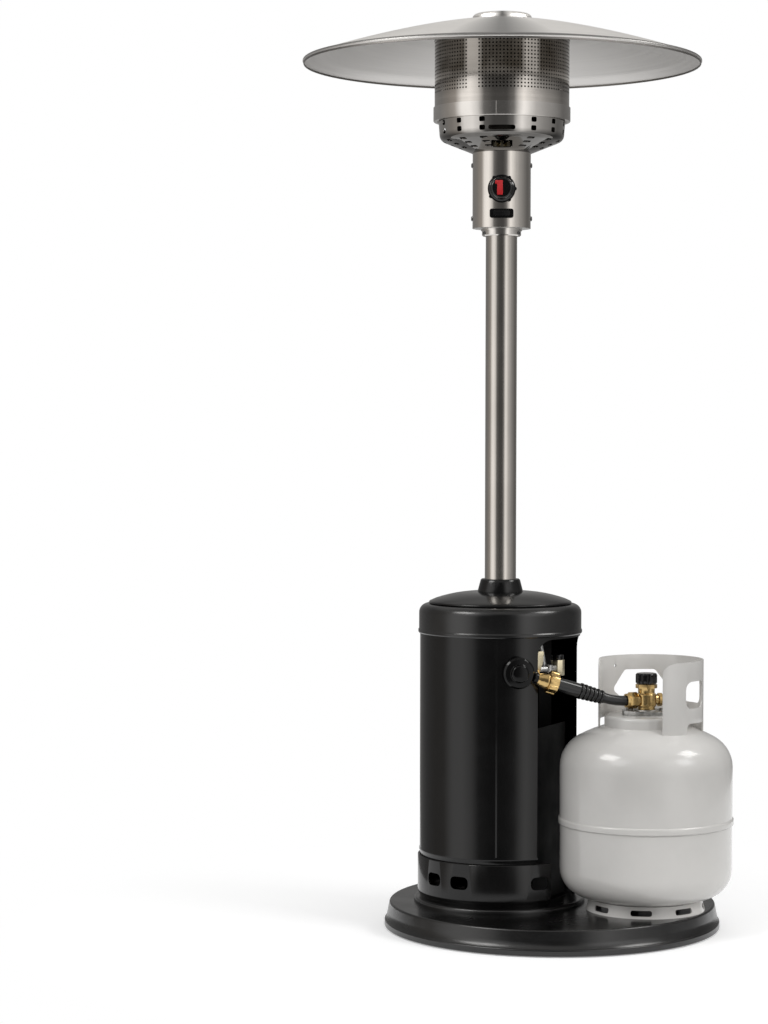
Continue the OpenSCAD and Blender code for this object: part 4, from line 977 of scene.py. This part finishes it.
class HEATER_OT_controls(bpy.types.Operator):
    """Finish the control housing, knob, pointer and igniter, with their screws."""
    bl_idname = "heater.controls"
    bl_label = "Finish controls"

    def execute(self, context):
        sizes = context.scene.heater_sizes
        edge = sizes.edge_round
        refine("control_housing", "brushed_control")
        refine("knob_bezel", "gloss_plastic", edge)
        refine("control_knob", "gloss_plastic", edge, body="control_knob")
        refine("knob_pointer", "red_plastic", edge, body="control_knob")
        refine("igniter_bezel", "gloss_plastic", edge)
        refine("igniter_button", "satin_plastic", edge, body="igniter_button")
        dress("bright_fastener", "knob_shaft")
        dress("cast_aluminium", "gas_valve", "control_plate")
        dress("pale_plastic", "igniter_module", "tilt_switch")
        head = lathe("screw_head", [
            (0, -2), (1.8, -2), (1.8, 0), (4.4, 0), (4.6, 0.3), (4.4, 1.1), (3.7, 1.9), (2.6, 2.4),
            (1.9, 2.45), (1.7, 1.3), (0, 1.1)], segments=32, closed=False)
        places = []
        for reach, heights, turns, scale in ((52.95, (1288.0, 1384.0), (-90.0, 90.0), 1.0),
                                             (35.6, (1261.0,), (-60.0, 60.0, 180.0), 0.7)):
            for way in (outward(radians(turn)) for turn in turns):
                places += [(HEATER + (way * reach + UP * height) * MM, way, scale) for height in heights]
        mesh = set_out("control_screws", part_object("screw_head", head), places, "dark_fastener",
                       sizes.screw_width / SCREW_WIDTH)
        piece("control_screws", mesh, "dark_fastener", stands_for=("head_screws",))
        return {"FINISHED"}


class HEATER_OT_burner(bpy.types.Operator):
    """Make the perforated emitter, and finish the bowl, band and burner inside."""
    bl_idname = "heater.burner"
    bl_label = "Make burner"

    def execute(self, context):
        s = context.scene.heater_sizes
        low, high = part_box("emitter_screen")
        radius = (high[0] - low[0]) / 2
        pitch = tau * radius / s.hole_columns
        rim_height = 0.002
        top = high[2] - rim_height
        bottom = top - pitch * s.hole_rows
        cells = [self.cell("holed_cell", pitch, s.hole_width, s.sheet_thickness),
                 self.cell("plain_cell", pitch, 0.0, s.sheet_thickness)]
        mesh = grow("emitter_sheet", sheet_of_holes(), bpy.data.meshes.new("sheet_start"), cells,
                    Cell=cells[0], Plain_cell=cells[1], Columns=s.hole_columns, Rows=s.hole_rows,
                    Pitch=pitch, Radius=radius, Bottom=bottom, Centre=HEATER.x,
                    Strip_middle=s.strip_turn * radius, Strip_half=pitch * s.strip_columns / 2,
                    Finish=finish_of("heat_tanned_steel"))
        # The inward faces of the sheet, foot, rim and bowl get painted shade.
        paint_inside_shade(piece("emitter_sheet", mesh, "heat_tanned_steel",
                          stands_for=("emitter_screen",), sharp=40.0))
        outer, inner = radius / MM, (radius - s.sheet_thickness) / MM
        for name, z0, z1 in (("emitter_foot", low[2], bottom), ("emitter_rim", top, high[2])):
            tube = lathe(name, [(inner, z0 / MM), (outer, z0 / MM), (outer, z1 / MM), (inner, z1 / MM)],
                         HEATER, segments=2 * s.hole_columns)
            paint_inside_shade(piece(name, tube, "heat_tanned_steel"))
        refine("emitter_top", "heat_tanned_steel")
        paint_inside_shade(refine("burner_bowl", "polished_bowl"), upward=1.0)
        refine("bowl_band", "polished_band")
        seam = wrap_strip("band_seam", HEATER, radius=124.2, low=1464.2, high=1487.6,
                          turn=radians(-4.7), wide=1.0, proud=0.1)
        piece("band_seam", seam, "polished_band")
        foot, head = low[2] / MM - 41.0, high[2] / MM - 8.0
        bore, wall = 96.5, 97.5
        shield = lathe("burner_shield", [(bore, foot - 0.4), (wall, foot), (wall, head), (bore, head)],
                       HEATER)
        piece("burner_shield", shield, "burner_steel")
        dress("burner_steel", "venturi", "burner_head")
        dress("gilt_zinc", "pilot_set")
        return {"FINISHED"}

    def cell(self, name, pitch, hole, depth):
        """A square of sheet with an eight-sided hole, or without one."""
        bm = bmesh.new()
        half = pitch / 2
        around = [(1, 0), (1, 1), (0, 1), (-1, 1), (-1, 0), (-1, -1), (0, -1), (1, -1)]
        layers = [[bm.verts.new((x * half, y * half, z)) for x, y in around] for z in (0.0, -depth)]
        if hole:
            rims = [[bm.verts.new((hole / 2 * x / hypot(x, y), hole / 2 * y / hypot(x, y), z))
                     for x, y in around] for z in (0.0, -depth)]
            for k in range(8):
                j = (k + 1) % 8
                bm.faces.new((layers[0][k], layers[0][j], rims[0][j], rims[0][k]))
                bm.faces.new((rims[0][k], rims[0][j], rims[1][j], rims[1][k]))
                bm.faces.new((rims[1][k], rims[1][j], layers[1][j], layers[1][k]))
        else:
            for layer, order in ((layers[0], 1), (layers[1], -1)):
                for ring in ((0, 1, 2, 6, 7), (2, 3, 4, 5, 6)):
                    bm.faces.new([layer[k] for k in ring][::order])
        return part_object(name, plain_mesh(name, bm))


class HEATER_OT_hood(bpy.types.Operator):
    """Finish the hood with its hem, its cap and its studs."""
    bl_idname = "heater.hood"
    bl_label = "Finish hood"

    def execute(self, context):
        # The hood and its cap take the steel with painted highlight and shade.
        for node in ("reflector_hood", "hood_cap"):
            refine(node, "satin_hood")
        low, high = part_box("reflector_hood")
        edge, foot = (high[0] - low[0]) / 2 / MM, low[2] / MM
        inner, outer, top = edge - 3.4, edge - 1.6, foot + 1.2
        hem = lathe("hood_hem", [(inner, foot - 2.6), (edge - 2.4, foot - 3.0), (outer, foot - 2.4),
                                 (outer, top), (inner, top)], HEATER, segments=192)
        # The hem is dark as painted shade under the rim.
        piece("hood_hem", hem, "hem_steel")
        dress("bright_fastener", "hood_studs")
        return {"FINISHED"}


class HEATER_OT_gas_line(bpy.types.Operator):
    """Finish the regulator, fittings and pipes between the housing and the hose."""
    bl_idname = "heater.gas_line"
    bl_label = "Finish gas line"

    def execute(self, context):
        edge = context.scene.heater_sizes.edge_round
        for node in ("regulator_body", "regulator_bonnet"):
            refine(node, "regulator_black", edge)
        refine("inlet_fitting", "brass", edge)
        refine("coupling_nut", "brass", edge, body="coupling_nut")
        for node in ("regulator_bracket", "pipe_union"):
            refine(node, "gilt_zinc", edge)
        refine("union_cap", "gloss_plastic", edge)
        dress("brass_dark", "regulator_nipple")
        dress("cast_aluminium", "feed_pipe", "riser_pipe")
        return {"FINISHED"}


class HEATER_OT_cylinder(bpy.types.Operator):
    """Finish the gas cylinder with its guard, valve and handwheel."""
    bl_idname = "heater.cylinder"
    bl_label = "Finish cylinder"

    def execute(self, context):
        edge = context.scene.heater_sizes.edge_round
        for node in ("tank_lower", "tank_upper", "tank_foot"):
            refine(node, "tank_enamel")
        refine("tank_guard", "tank_enamel", edge)
        refine("valve_flange", "zinc", edge)
        for node in ("tank_valve", "hose_tail_nut", "relief_valve"):
            refine(node, "brass", edge)
        refine("tank_wheel", "gloss_plastic", edge, body="tank_wheel")
        dress("brass", "wheel_shaft")
        return {"FINISHED"}


OPERATORS = (HEATER_OT_camera, HEATER_OT_finishes, HEATER_OT_hose, HEATER_OT_stage, HEATER_OT_base,
             HEATER_OT_housing, HEATER_OT_post, HEATER_OT_controls, HEATER_OT_burner, HEATER_OT_hood,
             HEATER_OT_gas_line, HEATER_OT_cylinder)


class HEATER_PT_sidebar(bpy.types.Panel):
    """Steps and values of the gas patio heater."""
    bl_idname = "HEATER_PT_sidebar"
    bl_label = "Gas patio heater"
    bl_space_type = "VIEW_3D"
    bl_region_type = "UI"
    bl_category = "Heater"

    def draw(self, context):
        for operator in OPERATORS:
            self.layout.operator(operator.bl_idname)
        for group in (context.scene.heater_sizes, context.scene.heater_colours, context.scene.heater_stage):
            box = self.layout.box()
            for key in group.__annotations__:
                box.prop(group, key)


GROUPS = (("heater_sizes", HeaterSizes), ("heater_colours", HeaterColours), ("heater_stage", HeaterStage))


def register():
    """Registers the classes and puts the values on the scene."""
    for cls in (*(g for _, g in GROUPS), *OPERATORS, HEATER_PT_sidebar):
        bpy.utils.register_class(cls)
    for name, group in GROUPS:
        setattr(bpy.types.Scene, name, bpy.props.PointerProperty(type=group))


def unregister():
    """Takes the values off the scene and unregisters the classes."""
    for name, _ in GROUPS:
        delattr(bpy.types.Scene, name)
    for cls in (HEATER_PT_sidebar, *reversed(OPERATORS), *(g for _, g in reversed(GROUPS))):
        bpy.utils.unregister_class(cls)


def main():
    """Builds the heater step by step."""
    register()
    for operator in OPERATORS:
        group, name = operator.bl_idname.split(".")
        getattr(getattr(bpy.ops, group), name)()


if __name__ == "__main__":
    main()
